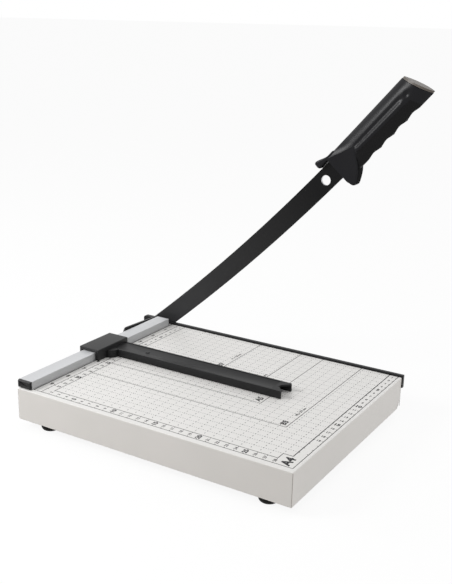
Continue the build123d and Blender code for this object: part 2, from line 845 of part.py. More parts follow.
with BuildPart() as handle_end_cap:
    add(handle_core.part)
    add(end_zone.part, mode=Mode.INTERSECT)
keep(handle_end_cap, "handle_end_cap")

with BuildPart() as handle_pins:
    with BuildSketch(handle_plane(blade_middle + pin_back)):
        with Locations(*pin_places):
            Circle(pin_radius)
    extrude(amount=pin_back + pin_front)
keep(handle_pins, "handle_pins")

# Slider block: straddles the rail, hooks under its overhang, and carries a tongue for the gauge arm
hook_top = table - slide_fit
inner_left = rail_left - slide_fit
inner_right = rail_right + slide_fit
inner_top = table + rail_height + slide_fit
tongue_top = table + gauge_height - gauge_roof
tongue_low = table + gauge_lift + slider_lift
tongue_width = gauge_width - 2 * gauge_wall - 2 * tongue_fit
gauge_middle = (gauge_stop + gauge_front) / 2
with BuildPart() as slider_block:
    with BuildSketch(Plane.XZ.offset(-slider_rear)):
        with BuildLine():
            Polyline(
                (inner_left - slider_wall_left, table + slider_height),
                (slider_right, table + slider_height),
                (slider_right, table + slider_lift),
                (inner_right, table + slider_lift),
                (inner_right, inner_top),
                (inner_left, inner_top),
                (inner_left, hook_top),
                (left - hook_clear, hook_top),
                (left - hook_clear, hook_top - hook_depth),
                (inner_left - slider_wall_left, hook_top - hook_depth),
                close=True,
            )
        make_face()
    extrude(amount=slider_length)
    crown = slider_block.faces().sort_by(Axis.Z)[-1].edges()
    fillet(crown, radius=slider_edge)
    with BuildSketch(Plane.XY.offset(tongue_low)):
        with Locations((slider_right, gauge_middle)):
            Rectangle(tongue_length, tongue_width, align=(Align.MIN, Align.CENTER))
    extrude(amount=tongue_top - tongue_low)
    with BuildSketch(Plane.XY.offset(inner_top)):
        with Locations(((rail_left + rail_right) / 2, slider_middle)):
            Rectangle(pad_width, pad_length)
    extrude(amount=pad_thickness, mode=Mode.SUBTRACT)
    with BuildSketch(Plane.XY.offset(tongue_top)):
        with Locations((slider_right + gauge_screw_reach, gauge_middle)):
            Circle(gauge_screw_radius + thread_fit)
    extrude(amount=tongue_low - tongue_top, mode=Mode.SUBTRACT)
keep(slider_block, "slider_block")

with BuildPart() as friction_pad:
    with BuildSketch(Plane.XY.offset(inner_top)):
        with Locations(((rail_left + rail_right) / 2, slider_middle)):
            Rectangle(pad_width, pad_length)
    extrude(amount=pad_thickness)
keep(friction_pad, "friction_pad")

# Gauge arm: a channel open below, flared where it meets the slider, with a sighting notch in its end
gauge_end = slider_right + gauge_reach
with BuildPart() as gauge_arm:
    with BuildSketch(Plane.XY.offset(table + gauge_lift)):
        with BuildLine():
            Line((slider_right, gauge_stop), (gauge_end, gauge_stop))
            Line((gauge_end, gauge_stop), (gauge_end, gauge_front))
            Line((gauge_end, gauge_front), (slider_right + flare_radius, gauge_front))
            RadiusArc(
                (slider_right + flare_radius, gauge_front),
                (slider_right, gauge_front - flare_radius),
                flare_radius,
            )
            Line((slider_right, gauge_front - flare_radius), (slider_right, gauge_stop))
        make_face()
    extrude(amount=gauge_height - gauge_lift)
    with BuildSketch(Plane.XY.offset(table + gauge_height)):
        with Locations((slider_right + panel_start, gauge_middle)):
            Rectangle(
                gauge_reach - panel_start - panel_end,
                gauge_width - 2 * panel_rib,
                align=(Align.MIN, Align.CENTER),
            )
    extrude(amount=-panel_depth, mode=Mode.SUBTRACT)
    with BuildSketch(Plane.XY.offset(table + gauge_lift)):
        with Locations((slider_right, gauge_middle)):
            Rectangle(gauge_reach, gauge_width - 2 * gauge_wall, align=(Align.MIN, Align.CENTER))
    extrude(amount=gauge_height - gauge_lift - gauge_roof, mode=Mode.SUBTRACT)
    with BuildSketch(Plane.XY.offset(table + gauge_height)):
        with BuildLine():
            Polyline(
                (gauge_end, gauge_middle - notch_width / 2),
                (gauge_end - notch_depth, gauge_middle - notch_floor / 2),
                (gauge_end - notch_depth, gauge_middle + notch_floor / 2),
                (gauge_end, gauge_middle + notch_width / 2),
                close=True,
            )
        make_face()
    extrude(amount=-gauge_roof, mode=Mode.SUBTRACT)
    with BuildSketch(Plane.XY.offset(table + gauge_height)):
        with Locations((slider_right + gauge_screw_reach, gauge_middle)):
            Circle(gauge_screw_radius + plain_fit)
    extrude(amount=-gauge_roof, mode=Mode.SUBTRACT)
keep(gauge_arm, "gauge_arm")

gauge_screw_seat = Plane(
    origin=(slider_right + gauge_screw_reach, gauge_middle, table + gauge_height - panel_depth)
)
with BuildPart() as gauge_screw:
    with Locations(gauge_screw_seat):
        add(
            pan_screw(
                gauge_screw_radius, gauge_screw_length, gauge_screw_head_radius, gauge_screw_head_height
            )
        )
keep(gauge_screw, "gauge_screw")
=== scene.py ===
import json
import math

import bmesh
import bpy
from mathutils import Matrix, Vector
from mathutils.geometry import interpolate_bezier

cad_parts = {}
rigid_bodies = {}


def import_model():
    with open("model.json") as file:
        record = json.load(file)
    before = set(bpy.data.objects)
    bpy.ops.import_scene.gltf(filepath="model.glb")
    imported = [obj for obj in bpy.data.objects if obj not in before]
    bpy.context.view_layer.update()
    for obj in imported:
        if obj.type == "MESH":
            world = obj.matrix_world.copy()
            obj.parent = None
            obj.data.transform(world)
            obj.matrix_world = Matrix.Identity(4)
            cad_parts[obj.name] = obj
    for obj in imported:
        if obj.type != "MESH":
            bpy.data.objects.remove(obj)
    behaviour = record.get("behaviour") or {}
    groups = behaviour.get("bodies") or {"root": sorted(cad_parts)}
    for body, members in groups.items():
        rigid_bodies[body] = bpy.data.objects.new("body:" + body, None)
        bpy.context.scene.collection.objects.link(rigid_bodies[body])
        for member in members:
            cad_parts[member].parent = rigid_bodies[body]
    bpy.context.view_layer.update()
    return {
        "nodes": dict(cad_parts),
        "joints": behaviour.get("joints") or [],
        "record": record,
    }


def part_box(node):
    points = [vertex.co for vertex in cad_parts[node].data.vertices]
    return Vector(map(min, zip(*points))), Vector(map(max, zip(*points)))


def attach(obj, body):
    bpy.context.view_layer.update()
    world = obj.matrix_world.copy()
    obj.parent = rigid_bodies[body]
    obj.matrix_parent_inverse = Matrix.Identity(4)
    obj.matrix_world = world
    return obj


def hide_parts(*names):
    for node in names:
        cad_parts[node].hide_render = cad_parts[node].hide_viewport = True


# Lever paper trimmer, dressed for rendering, in metres. X runs along the cut from the pivot to the handle,
# Y across the table towards the cut, and Z up.
for leftover in list(bpy.data.objects):
    bpy.data.objects.remove(leftover)
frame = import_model()
mm = 0.001

# Tray: the table and its four walls, pressed from one steel sheet and open below.
# It is powder coated in ivory: a satin film whose fine orange peel breaks up the highlights.


def srgb(code):
    """Linear colour of an sRGB hex code."""
    parts = [int(code[at : at + 2], 16) / 255 for at in (1, 3, 5)]
    return [p / 12.92 if p <= 0.04045 else ((p + 0.055) / 1.055) ** 2.4 for p in parts] + [1.0]


def add_node(tree, kind, inputs=None, **settings):
    """Add one node with its settings; each input gets a value, or a link from a socket."""
    node = tree.nodes.new(kind)
    for name, value in settings.items():
        setattr(node, name, value)
    for name, value in (inputs or {}).items():
        if isinstance(value, bpy.types.NodeSocket):
            tree.links.new(value, node.inputs[name])
        else:
            node.inputs[name].default_value = value
    return node


def new_material(name):
    """Empty material: the material, its node tree and the object coordinates."""
    material = bpy.data.materials.new(name)
    material.use_nodes = True
    tree = material.node_tree
    tree.nodes.clear()
    return material, tree, add_node(tree, "ShaderNodeTexCoord").outputs["Object"]


def per_metre(size_mm):
    """Texture scale that gives a pattern of this size."""
    return 1 / (size_mm * mm)


# Sockets of a colour mix, told by number because several of them share a name
mix_share, mix_first, mix_second, mix_result = 0, 6, 7, 2


def patchy(tree, place, patch_mm, detail, first, second):
    """Colour that drifts between two shades, in patches of this size."""
    patches = add_node(
        tree, "ShaderNodeTexNoise", {"Vector": place, "Scale": per_metre(patch_mm), "Detail": detail}
    )
    shade = add_node(
        tree,
        "ShaderNodeMix",
        {mix_share: patches.outputs["Fac"], mix_first: srgb(first), mix_second: srgb(second)},
        data_type="RGBA",
    )
    return shade.outputs[mix_result]


# Powder-coated steel: a baked polyester film, so it has a plastic's gloss over a pale even colour.
ivory_coat, tree, place = new_material("powder coated steel, ivory")
tint = patchy(tree, place, 45, 2.0, "#E3E2DF", "#E9E7E5")
peel = add_node(tree, "ShaderNodeTexNoise", {"Vector": place, "Scale": per_metre(0.8), "Detail": 1.0})
relief = add_node(
    tree, "ShaderNodeBump", {"Height": peel.outputs["Fac"], "Strength": 0.25, "Distance": 0.02 * mm}
)
gloss = add_node(
    tree, "ShaderNodeMapRange", {"Value": peel.outputs["Fac"], "To Min": 0.42, "To Max": 0.52}
)
coat = add_node(
    tree,
    "ShaderNodeBsdfPrincipled",
    {
        "Base Color": tint,
        "Roughness": gloss.outputs["Result"],
        "IOR": 1.5,
        "Normal": relief.outputs["Normal"],
    },
)
add_node(tree, "ShaderNodeOutputMaterial", {"Surface": coat.outputs["BSDF"]})
tray_low, tray_high = (Vector(corner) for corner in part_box("base_housing"))
table_z = tray_high.z
cad_fold = 2.4 * mm
tight_fold = 0.9 * mm
touching = 0.01 * mm
same_spot = 0.002 * mm
tray_sharp_from = math.radians(40)


def cad_copy(node):
    """Working copy of a CAD node's mesh, with its double points merged."""
    copy = bmesh.new()
    copy.from_mesh(frame["nodes"][node].data)
    copy.transform(frame["nodes"][node].matrix_world)
    bmesh.ops.remove_doubles(copy, verts=copy.verts, dist=same_spot)
    return copy


def plain_copy(name, made):
    """Mesh of a working copy, which is freed."""
    mesh = bpy.data.meshes.new(name)
    made.to_mesh(mesh)
    made.free()
    return mesh


def smooth_copy(name, made, sharp_from):
    """The same, shaded smooth but for edges from this angle on."""
    mesh = plain_copy(name, made)
    for face in mesh.polygons:
        face.use_smooth = True
    mesh.set_sharp_from_angle(angle=sharp_from)
    return mesh


def in_scene(name, data):
    """Object in the scene, at the origin."""
    thing = bpy.data.objects.new(name, data)
    bpy.context.collection.objects.link(thing)
    return thing


# The folds show tight from outside, so they are drawn in towards the edges on a copy of the CAD tray
tray = cad_copy("base_housing")
for vert in tray.verts:
    from_low, from_high = vert.co - tray_low, tray_high - vert.co
    inside = [min(near, far) for near, far in zip(from_low, from_high)]
    folded = [axis for axis in range(3) if inside[axis] < cad_fold + touching]
    off_axis = math.hypot(*(cad_fold - inside[axis] for axis in folded))
    if len(folded) > 1 and abs(off_axis - cad_fold) < touching:
        for axis in folded:
            drawn_in = inside[axis] * (1 - tight_fold / cad_fold)
            vert.co[axis] += -drawn_in if from_low[axis] < from_high[axis] else drawn_in
tray_shell = in_scene("tray_shell", smooth_copy("tray_shell", tray, tray_sharp_from))
tray_shell.data.materials.append(ivory_coat)
even = tray_shell.modifiers.new("even shading", "WEIGHTED_NORMAL")
even.weight = 100
even.keep_sharp = True
slot_of = {part["node"]: part["material_slot"] for part in frame["record"]["subparts"]}
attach(tray_shell, "base")
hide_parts("base_housing")

# Printed table: a centimetre grid, rulers and paper sizes, counted from the rail and from the cut.
# They are screen printed on the coat in black and grey ink, a few hundredths of a millimetre thick.
zero_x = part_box("guide_rail")[1][0]
zero_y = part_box("fixed_blade")[1][1]
ink_thickness = 0.03 * mm
ink_sunk = 0.005 * mm
ink_z = table_z + ink_thickness / 2 - ink_sunk


def at_print(across, down):
    """Point of the print: millimetres from the rail, and from the cut towards the front."""
    return Vector((zero_x + across * mm, zero_y - down * mm, ink_z))


# Screen ink: dries matt and a little rough, thin enough to follow the coat below it.
def ink(name, code):
    """Matt film of one colour with a fine grain."""
    material, tree, place = new_material(name)
    grain = add_node(tree, "ShaderNodeTexNoise", {"Vector": place, "Scale": per_metre(0.4), "Detail": 1.0})
    rough = add_node(
        tree, "ShaderNodeMapRange", {"Value": grain.outputs["Fac"], "To Min": 0.6, "To Max": 0.75}
    )
    shade = add_node(
        tree,
        "ShaderNodeHueSaturation",
        {"Color": srgb(code), "Value": grain.outputs["Fac"], "Fac": 0.15},
    )
    film = add_node(
        tree,
        "ShaderNodeBsdfPrincipled",
        {"Base Color": shade.outputs["Color"], "Roughness": rough.outputs["Result"], "IOR": 1.48},
    )
    add_node(tree, "ShaderNodeOutputMaterial", {"Surface": film.outputs["BSDF"]})
    return material


black_ink = ink("screen ink, black", "#1E1E20")
grey_ink = ink("screen ink, grey", "#4A4A4A")


def new_growth(name, inputs, result):
    """Empty geometry tree with these inputs: the tree, the inputs' ids and their sockets."""
    tree = bpy.data.node_groups.new(name, "GeometryNodeTree")
    tree.is_modifier = True
    ids = {}
    for socket_name, kind in inputs:
        made = tree.interface.new_socket(socket_name, in_out="INPUT", socket_type="NodeSocket" + kind)
        ids[socket_name] = made.identifier
    tree.interface.new_socket(result, in_out="OUTPUT", socket_type="NodeSocketGeometry")
    return tree, ids, add_node(tree, "NodeGroupInput").outputs


def end_growth(tree, instances, finish, result):
    """End a geometry tree in real meshes of one finish."""
    real = add_node(tree, "GeometryNodeRealizeInstances", {"Geometry": instances})
    finished = add_node(
        tree, "GeometryNodeSetMaterial", {"Geometry": real.outputs["Geometry"], "Material": finish}
    )
    add_node(tree, "NodeGroupOutput", {result: finished.outputs["Geometry"]})


# Printed marks: one thin bar, repeated along a row, and the row repeated across
mark_inputs = (
    ("Start", "Vector"),
    ("Step", "Vector"),
    ("Bar", "Vector"),
    ("Count", "Int"),
    ("Row Step", "Vector"),
    ("Rows", "Int"),
    ("Ink", "Material"),
)
mark_tree, mark_ids, given = new_growth("rows of printed marks", mark_inputs, "Marks")
line = add_node(
    mark_tree,
    "GeometryNodeMeshLine",
    {"Count": given["Count"], "Start Location": given["Start"], "Offset": given["Step"]},
)
bar = add_node(mark_tree, "GeometryNodeMeshCube", {"Size": given["Bar"]})
row = add_node(
    mark_tree,
    "GeometryNodeInstanceOnPoints",
    {"Points": line.outputs["Mesh"], "Instance": bar.outputs["Mesh"]},
)
stack = add_node(
    mark_tree, "GeometryNodeMeshLine", {"Count": given["Rows"], "Offset": given["Row Step"]}
)
rows = add_node(
    mark_tree,
    "GeometryNodeInstanceOnPoints",
    {"Points": stack.outputs["Mesh"], "Instance": row.outputs["Instances"]},
)
end_growth(mark_tree, rows.outputs["Instances"], given["Ink"], "Marks")


def plain_mesh(obj):
    """Mesh of an object as its modifiers leave it; the object is removed."""
    graph = bpy.context.evaluated_depsgraph_get()
    mesh = bpy.data.meshes.new_from_object(obj.evaluated_get(graph), depsgraph=graph)
    bpy.data.objects.remove(obj)
    return mesh


def grown(tree, ids, values):
    """Mesh that a geometry tree makes from these inputs."""
    seed = in_scene("seed", bpy.data.meshes.new("seed"))
    growth = seed.modifiers.new("growth", "NODES")
    growth.node_group = tree
    for name, value in values.items():
        growth[ids[name]] = value
    return plain_mesh(seed)


def piece_of(name, meshes, body, material):
    """One object of one finish from several meshes, riding on a body."""
    together = bmesh.new()
    for mesh in meshes:
        together.from_mesh(mesh)
    for face in together.faces:
        face.material_index = 0
    piece = in_scene(name, plain_copy(name, together))
    piece.data.materials.append(material)
    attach(piece, body)


def marks(start, step, bar, count, finish, row_step=(0, 0), rows=1):
    """Rows of bars from a print place, with their steps and bar size in millimetres."""
    values = {
        "Start": at_print(*start),
        "Step": Vector((step[0] * mm, -step[1] * mm, 0)),
        "Bar": Vector((bar[0] * mm, bar[1] * mm, ink_thickness)),
        "Count": count,
        "Row Step": Vector((row_step[0] * mm, -row_step[1] * mm, 0)),
        "Rows": rows,
        "Ink": finish,
    }
    return grown(mark_tree, mark_ids, values)


centimetre = 10.0
inch = 25.4
grid_left = 20.0
grid_right = 290.0
grid_front = 240.0
ruler_right = 300.0
ruler_front = 250.0
knife_strip = (zero_y - tray_high.y) / mm
fine_line = 0.7
bold_line = 1.0
# The dots are drawn coarser than the print's, two or four to a centimetre, so that they show at this size.
dash_step = centimetre / 4
dash = 0.9
dash_long = 1.8
dot_width = 0.6
columns = int((grid_right - grid_left) / centimetre)
rows_down = int(grid_front / centimetre)
grid_meshes = [
    marks(
        (grid_left + centimetre, centimetre / 2),
        (0, centimetre / 2),
        (dot_width, dash_long),
        2 * rows_down - 1,
        grey_ink,
        row_step=(centimetre, 0),
        rows=columns - 1,
    ),
    marks(
        (grid_left + dash_step, centimetre),
        (dash_step, 0),
        (dash, dot_width),
        int((grid_right - grid_left) / dash_step) - 1,
        grey_ink,
        row_step=(0, centimetre),
        rows=rows_down - 1,
    ),
]
piece_of("table_grid", grid_meshes, "base", grey_ink)


def line_down(across, start, end, width):
    """Printed line towards the front, between two distances from the cut."""
    return marks((across, (start + end) / 2), (0, 0), (width, end - start), 1, black_ink)


def line_across(down, start, end, width):
    """Printed line along the cut, between two distances from the rail."""
    return marks(((start + end) / 2, down), (0, 0), (end - start, width), 1, black_ink)


# Ruler lines, the ticks on them, the corner lines of the paper sizes, and a painted shadow at the rail's foot
paper_sizes = (("A5", 210.0, 148.0), ("B5", 257.0, 182.0), ("B6", 182.0, 128.0), ("B7", 128.0, 91.0))
corner_left = 280.0
corner_top = 230.0
rule_meshes = [
    # The bold black line along the rail's foot is painted shadow, where the rail stands on the table
    line_down(bold_line / 2, knife_strip, ruler_front, bold_line),
    line_down(centimetre, knife_strip, ruler_front, fine_line),
    line_down(grid_left, knife_strip, grid_front, fine_line),
    line_across(ruler_front, 0, ruler_right, fine_line),
    line_across(grid_front, grid_left, corner_left, fine_line),
    line_down(ruler_right, knife_strip, ruler_front, fine_line),
    line_down(grid_right, knife_strip, corner_top, bold_line),
    line_across(corner_top, corner_left, grid_right, fine_line),
    line_down(corner_left, corner_top, grid_front, fine_line),
]
tick = 1.6
front_first = 2
front_last = 28
front_count = front_last - front_first + 1
right_last = 22
left_last = 24
inch_last = 9
tick_down = (fine_line, tick)
tick_across = (tick, fine_line)
half_tick = (tick / 2, fine_line)
for start, step, size, count in (
    ((front_first * centimetre, ruler_front - tick / 2), (centimetre, 0), tick_down, front_count),
    ((front_first * centimetre, grid_front + tick / 2), (centimetre, 0), tick_down, front_count),
    ((grid_right + tick / 2, centimetre), (0, centimetre), tick_across, right_last),
    ((ruler_right - tick / 2, centimetre), (0, centimetre), tick_across, right_last),
    ((centimetre + tick / 2, centimetre), (0, centimetre), tick_across, left_last),
    ((centimetre - tick / 2, inch), (0, inch), tick_across, inch_last),
    ((centimetre - tick / 4, inch / 2), (0, inch / 2), half_tick, 2 * inch_last + 1),
):
    rule_meshes.append(marks(start, step, size, count, black_ink))
for _, wide, long in paper_sizes:
    rule_meshes.append(line_down(wide, knife_strip, long, fine_line))
    rule_meshes.append(line_across(long, grid_left, wide, fine_line))
piece_of("table_rules", rule_meshes, "base", black_ink)

# Figures: upright for someone at the front, or turned to be read from the handle's side
from_front = 0.0
from_right = math.pi / 2
type_share = 1.4
curve_steps = 3


def figure(words, spot, height, turn, weight):
    """Mesh of printed words, centred on a print place, with a height in millimetres."""
    text = bpy.data.curves.new("figure", "FONT")
    text.body = words
    text.size = height * mm * type_share
    text.align_x = "CENTER"
    text.align_y = "CENTER"
    text.resolution_u = curve_steps
    text.offset = weight * mm
    text.extrude = ink_thickness / 2
    mesh = plain_mesh(in_scene("figure", text))
    mesh.transform(Matrix.Translation(at_print(*spot)) @ Matrix.Rotation(turn, 4, "Z"))
    return mesh


small = 3.2
large = 4.8
thin = 0.14
stout = 0.3
large_every = 5
right_figure_last = 19
left_shift = 1.0
figures = []
for numbers, start, step, turn in (
    (range(front_first, front_last + 1), (0, (grid_front + ruler_front) / 2), (centimetre, 0), from_right),
    (range(1, right_figure_last + 1), ((grid_right + ruler_right) / 2, 0), (0, centimetre), from_front),
    (range(1, left_last), ((centimetre + grid_left) / 2 + left_shift, 0), (0, centimetre), from_front),
):
    for number in numbers:
        height, weight = (large, stout) if number % large_every == 0 else (small, thin)
        spot = (start[0] + number * step[0], start[1] + number * step[1])
        figures.append(figure(str(number), spot, height, turn, weight))
for number in range(1, inch_last + 1):
    figures.append(figure(str(number), (centimetre / 2, number * inch), large, from_front, stout))

# Names of the paper sizes, with their millimetres, stand inside the corners of their lines
name_in, name_up, name_height, name_weight = 5.6, 8.0, 6.0, 0.35
size_in, size_up, size_height = 4.0, 38.0, 2.6
for label, wide, long in paper_sizes:
    figures.append(figure(label, (wide - name_in, long - name_up), name_height, from_right, name_weight))
    words = f"{long:.0f} x {wide:.0f} mm"
    figures.append(figure(words, (wide - size_in, long - size_up), size_height, from_right, thin))
table_size_in, table_size_down, table_size_height, table_size_weight = 11.0, 0.5, 9.0, 0.55
spot = (corner_left + table_size_in, (corner_top + ruler_front) / 2 + table_size_down)
figures.append(figure("A4", spot, table_size_height, from_right, table_size_weight))
piece_of("table_figures", figures, "base", black_ink)

# Corner seams: the tray's walls are folded down and meet in a welded seam at each upright corner.
# The seam is ground flush before coating and shows as a thin line, here a strip as wide as the weld.
# The coat lies thin and dull in it, so it is as matt as the ink.
seam_paint = ink("coated weld seam", "#A9A59F")
seam_width = 0.3 * mm
seam_short = 3 * tight_fold
fold_reach = tight_fold * (1 - math.sqrt(0.5))
seam_values = {
    "Start": Vector((tray_low.x + fold_reach, tray_low.y + fold_reach, (tray_low.z + tray_high.z) / 2)),
    "Step": Vector((tray_high.x - tray_low.x - 2 * fold_reach, 0, 0)),
    "Bar": Vector((seam_width, seam_width, tray_high.z - tray_low.z - seam_short)),
    "Count": 2,
    "Row Step": Vector((0, tray_high.y - tray_low.y - 2 * fold_reach, 0)),
    "Rows": 2,
    "Ink": seam_paint,
}
piece_of("corner_seams", [grown(mark_tree, mark_ids, seam_values)], "base", seam_paint)

# Rubber feet: four domed pads moulded in black rubber, each held by a screw in its recess.
# The same rubber makes the pad inside the slider.


def grained(tree, place, grain_mm, detail, strength, depth_mm):
    """Normal of a surface with a grain of this size and depth."""
    grain = add_node(
        tree, "ShaderNodeTexNoise", {"Vector": place, "Scale": per_metre(grain_mm), "Detail": detail}
    )
    relief = add_node(
        tree,
        "ShaderNodeBump",
        {"Height": grain.outputs["Fac"], "Strength": strength, "Distance": depth_mm * mm},
    )
    return relief.outputs["Normal"]


def paint(node, material):
    """Give a CAD node a finish."""
    for slot in frame["nodes"][node].material_slots:
        slot.material = material


# Moulded rubber: dull and near black, with a little dust in its grain.
foot_rubber, tree, place = new_material("moulded rubber, black")
skin = add_node(
    tree,
    "ShaderNodeBsdfPrincipled",
    {
        "Base Color": patchy(tree, place, 3, 4.0, "#161616", "#262625"),
        "Roughness": 0.8,
        "IOR": 1.52,
        "Specular IOR Level": 0.2,
        "Normal": grained(tree, place, 0.5, 2.0, 0.3, 0.04),
    },
)
add_node(tree, "ShaderNodeOutputMaterial", {"Surface": skin.outputs["BSDF"]})
paint("rubber_feet", foot_rubber)
paint("friction_pad", foot_rubber)

# Fixings: screws, nuts, washers, disc springs and the bar behind the knife.
# They are mild steel, turned or headed, and zinc plated: a grey metal with a faint cloudy bloom.
zinc_plate, tree, place = new_material("zinc plated steel")
bloom = add_node(tree, "ShaderNodeTexNoise", {"Vector": place, "Scale": per_metre(4), "Detail": 3.0})
shade = add_node(
    tree,
    "ShaderNodeMix",
    {mix_share: bloom.outputs["Fac"], mix_first: srgb("#B9BABA"), mix_second: srgb("#D2D1CB")},
    data_type="RGBA",
)
rough = add_node(
    tree, "ShaderNodeMapRange", {"Value": bloom.outputs["Fac"], "To Min": 0.28, "To Max": 0.44}
)
plate = add_node(
    tree,
    "ShaderNodeBsdfPrincipled",
    {"Base Color": shade.outputs[mix_result], "Metallic": 1.0, "Roughness": rough.outputs["Result"]},
)
add_node(tree, "ShaderNodeOutputMaterial", {"Surface": plate.outputs["BSDF"]})
# Every node of the zinc slot; the gauge's screw among them is lacquered black later, with the knife
for node, slot in slot_of.items():
    if slot == "zinc_steel":
        paint(node, zinc_plate)

# Cross recesses of the screws: two crossed slots in each head, drawn as a thin dark cross standing on the
# head, as painted shade of the recess.
# Each screw was driven home to its own angle, so the crosses are turned at random.
recess_dark, tree, place = new_material("cross recess, in shadow")
# Painted shade: the dark greys stand for the depth of the slots
recess_painted_shade = patchy(tree, place, 1, 2.0, "#1C1C1C", "#303030")
dull = add_node(tree, "ShaderNodeBsdfPrincipled", {"Base Color": recess_painted_shade, "Roughness": 0.7})
add_node(tree, "ShaderNodeOutputMaterial", {"Surface": dull.outputs["BSDF"]})
cross_inputs = (
    ("First Head", "Vector"),
    ("Head Step", "Vector"),
    ("Count", "Int"),
    ("Facing", "Rotation"),
    ("Slot", "Vector"),
    ("Seed", "Int"),
    ("Finish", "Material"),
)
cross_tree, cross_ids, given = new_growth("cross recesses", cross_inputs, "Crosses")
heads = add_node(
    cross_tree,
    "GeometryNodeMeshLine",
    {"Count": given["Count"], "Start Location": given["First Head"], "Offset": given["Head Step"]},
)
one_slot = add_node(cross_tree, "GeometryNodeMeshCube", {"Size": given["Slot"]})
other_slot = add_node(
    cross_tree,
    "GeometryNodeTransform",
    {"Geometry": one_slot.outputs["Mesh"], "Rotation": (0, 0, math.pi / 2)},
)
cross = add_node(cross_tree, "GeometryNodeJoinGeometry")
for slot_mesh in (one_slot.outputs["Mesh"], other_slot.outputs["Geometry"]):
    cross_tree.links.new(slot_mesh, cross.inputs["Geometry"])
placed = add_node(
    cross_tree,
    "GeometryNodeInstanceOnPoints",
    {"Points": heads.outputs["Mesh"], "Instance": cross.outputs["Geometry"], "Rotation": given["Facing"]},
)
turn = add_node(
    cross_tree,
    "FunctionNodeRandomValue",
    {0: (0, 0, 0), 1: (0, 0, math.pi / 2), "Seed": given["Seed"]},
    data_type="FLOAT_VECTOR",
)
turned = add_node(
    cross_tree,
    "GeometryNodeRotateInstances",
    {"Instances": placed.outputs["Instances"], "Rotation": turn.outputs[0]},
)
end_growth(cross_tree, turned.outputs["Instances"], given["Finish"], "Crosses")
slot_lift = 0.05 * mm
slot_long_share = 0.52
slot_wide_share = 0.12


def crosses(node, count, run, aside, facing, head_mm, seed):
    """Crosses on a row of heads along one axis of the node's box, at a share of its width aside."""
    low, high = (Vector(corner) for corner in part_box(node))
    out = next(axis for axis in range(3) if facing[axis])
    across = 3 - run - out
    head = head_mm * mm
    first = Vector()
    first[run] = low[run] + head / 2
    first[across] = low[across] + head / 2 + (high[across] - low[across] - head) * aside
    first[out] = high[out] if facing[out] > 0 else low[out]
    last = first.copy()
    last[run] = high[run] - head / 2
    values = {
        "First Head": first,
        "Head Step": (last - first) / max(count - 1, 1),
        "Count": count,
        "Facing": facing.to_track_quat("Z", "Y").to_euler(),
        "Slot": Vector((slot_long_share * head, slot_wide_share * head, slot_lift)),
        "Seed": seed,
        "Finish": recess_dark,
    }
    return grown(cross_tree, cross_ids, values)


backward, leftward, downward = Vector((0, 1, 0)), Vector((-1, 0, 0)), Vector((0, 0, -1))
knife_head, bracket_head, foot_head = 6.6, 9.2, 7.4
recesses = [
    crosses("knife_screws", count=5, run=0, aside=0.5, facing=backward, head_mm=knife_head, seed=1),
    crosses("bracket_screws", count=2, run=1, aside=0.5, facing=leftward, head_mm=bracket_head, seed=2),
    crosses("foot_screws", count=2, run=0, aside=0, facing=downward, head_mm=foot_head, seed=3),
    crosses("foot_screws", count=2, run=0, aside=1, facing=downward, head_mm=foot_head, seed=4),
]
piece_of("screw_recesses", recesses, "base", recess_dark)

# Guide rail: an aluminium tube along the left edge, that the paper is squared against.
# Its top is brushed lengthwise, and it is clear anodised: the oxide film scatters light, so it is part mirror
# and part pale matt grey. Its sides are painted a darker grey than its top, as painted shade.


def streaks(tree, place, sizes_mm):
    """Noise drawn out to these sizes along the three axes."""
    drawn = add_node(
        tree, "ShaderNodeMapping", {"Vector": place, "Scale": [per_metre(size) for size in sizes_mm]}
    )
    noise = add_node(
        tree, "ShaderNodeTexNoise", {"Vector": drawn.outputs["Vector"], "Scale": 1.0, "Detail": 3.0}
    )
    return noise.outputs["Fac"]


brushed, tree, place = new_material("brushed anodised aluminium")
brush = streaks(tree, place, (0.35, 60, 0.35))
top_skin = add_node(
    tree,
    "ShaderNodeMix",
    {mix_share: brush, mix_first: srgb("#C6C7C9"), mix_second: srgb("#D6D7D9")},
    data_type="RGBA",
)
side_painted_shade = add_node(
    tree,
    "ShaderNodeMix",
    {mix_share: brush, mix_first: srgb("#AAABAC"), mix_second: srgb("#B8B9BA")},
    data_type="RGBA",
)
normal = add_node(tree, "ShaderNodeTexCoord").outputs["Normal"]
upward = add_node(tree, "ShaderNodeSeparateXYZ", {"Vector": normal})
facing_up = add_node(
    tree, "ShaderNodeMapRange", {"Value": upward.outputs["Z"], "From Min": 0.3, "From Max": 0.8}
)
# Painted shade: faces that look sideways take the darker grey, faces that look up the lighter one
shade = add_node(
    tree,
    "ShaderNodeMix",
    {
        mix_share: facing_up.outputs["Result"],
        mix_first: side_painted_shade.outputs[mix_result],
        mix_second: top_skin.outputs[mix_result],
    },
    data_type="RGBA",
)
rough = add_node(tree, "ShaderNodeMapRange", {"Value": brush, "To Min": 0.34, "To Max": 0.5})
relief = add_node(tree, "ShaderNodeBump", {"Height": brush, "Strength": 0.2, "Distance": 0.01 * mm})
metal = add_node(
    tree,
    "ShaderNodeBsdfPrincipled",
    {
        "Base Color": shade.outputs[mix_result],
        "Metallic": 0.3,
        "Roughness": rough.outputs["Result"],
        "Anisotropic": 0.5,
        "Normal": relief.outputs["Normal"],
    },
)
add_node(tree, "ShaderNodeOutputMaterial", {"Surface": metal.outputs["BSDF"]})
paint("guide_rail", brushed)

# Knife and gauge screw: a strip cut from steel plate, and the screw that holds the gauge.
# Both are sprayed with satin black lacquer, which has a soft sheen and a fine orange peel.


def lacquered(tree, place, colour, shine):
    """Sprayed film of this colour, as the material's surface."""
    film = add_node(
        tree,
        "ShaderNodeBsdfPrincipled",
        {
            "Base Color": colour,
            "Roughness": 0.4,
            "IOR": 1.5,
            "Specular IOR Level": shine,
            "Normal": grained(tree, place, 0.6, 2.0, 0.25, 0.02),
        },
    )
    add_node(tree, "ShaderNodeOutputMaterial", {"Surface": film.outputs["BSDF"]})


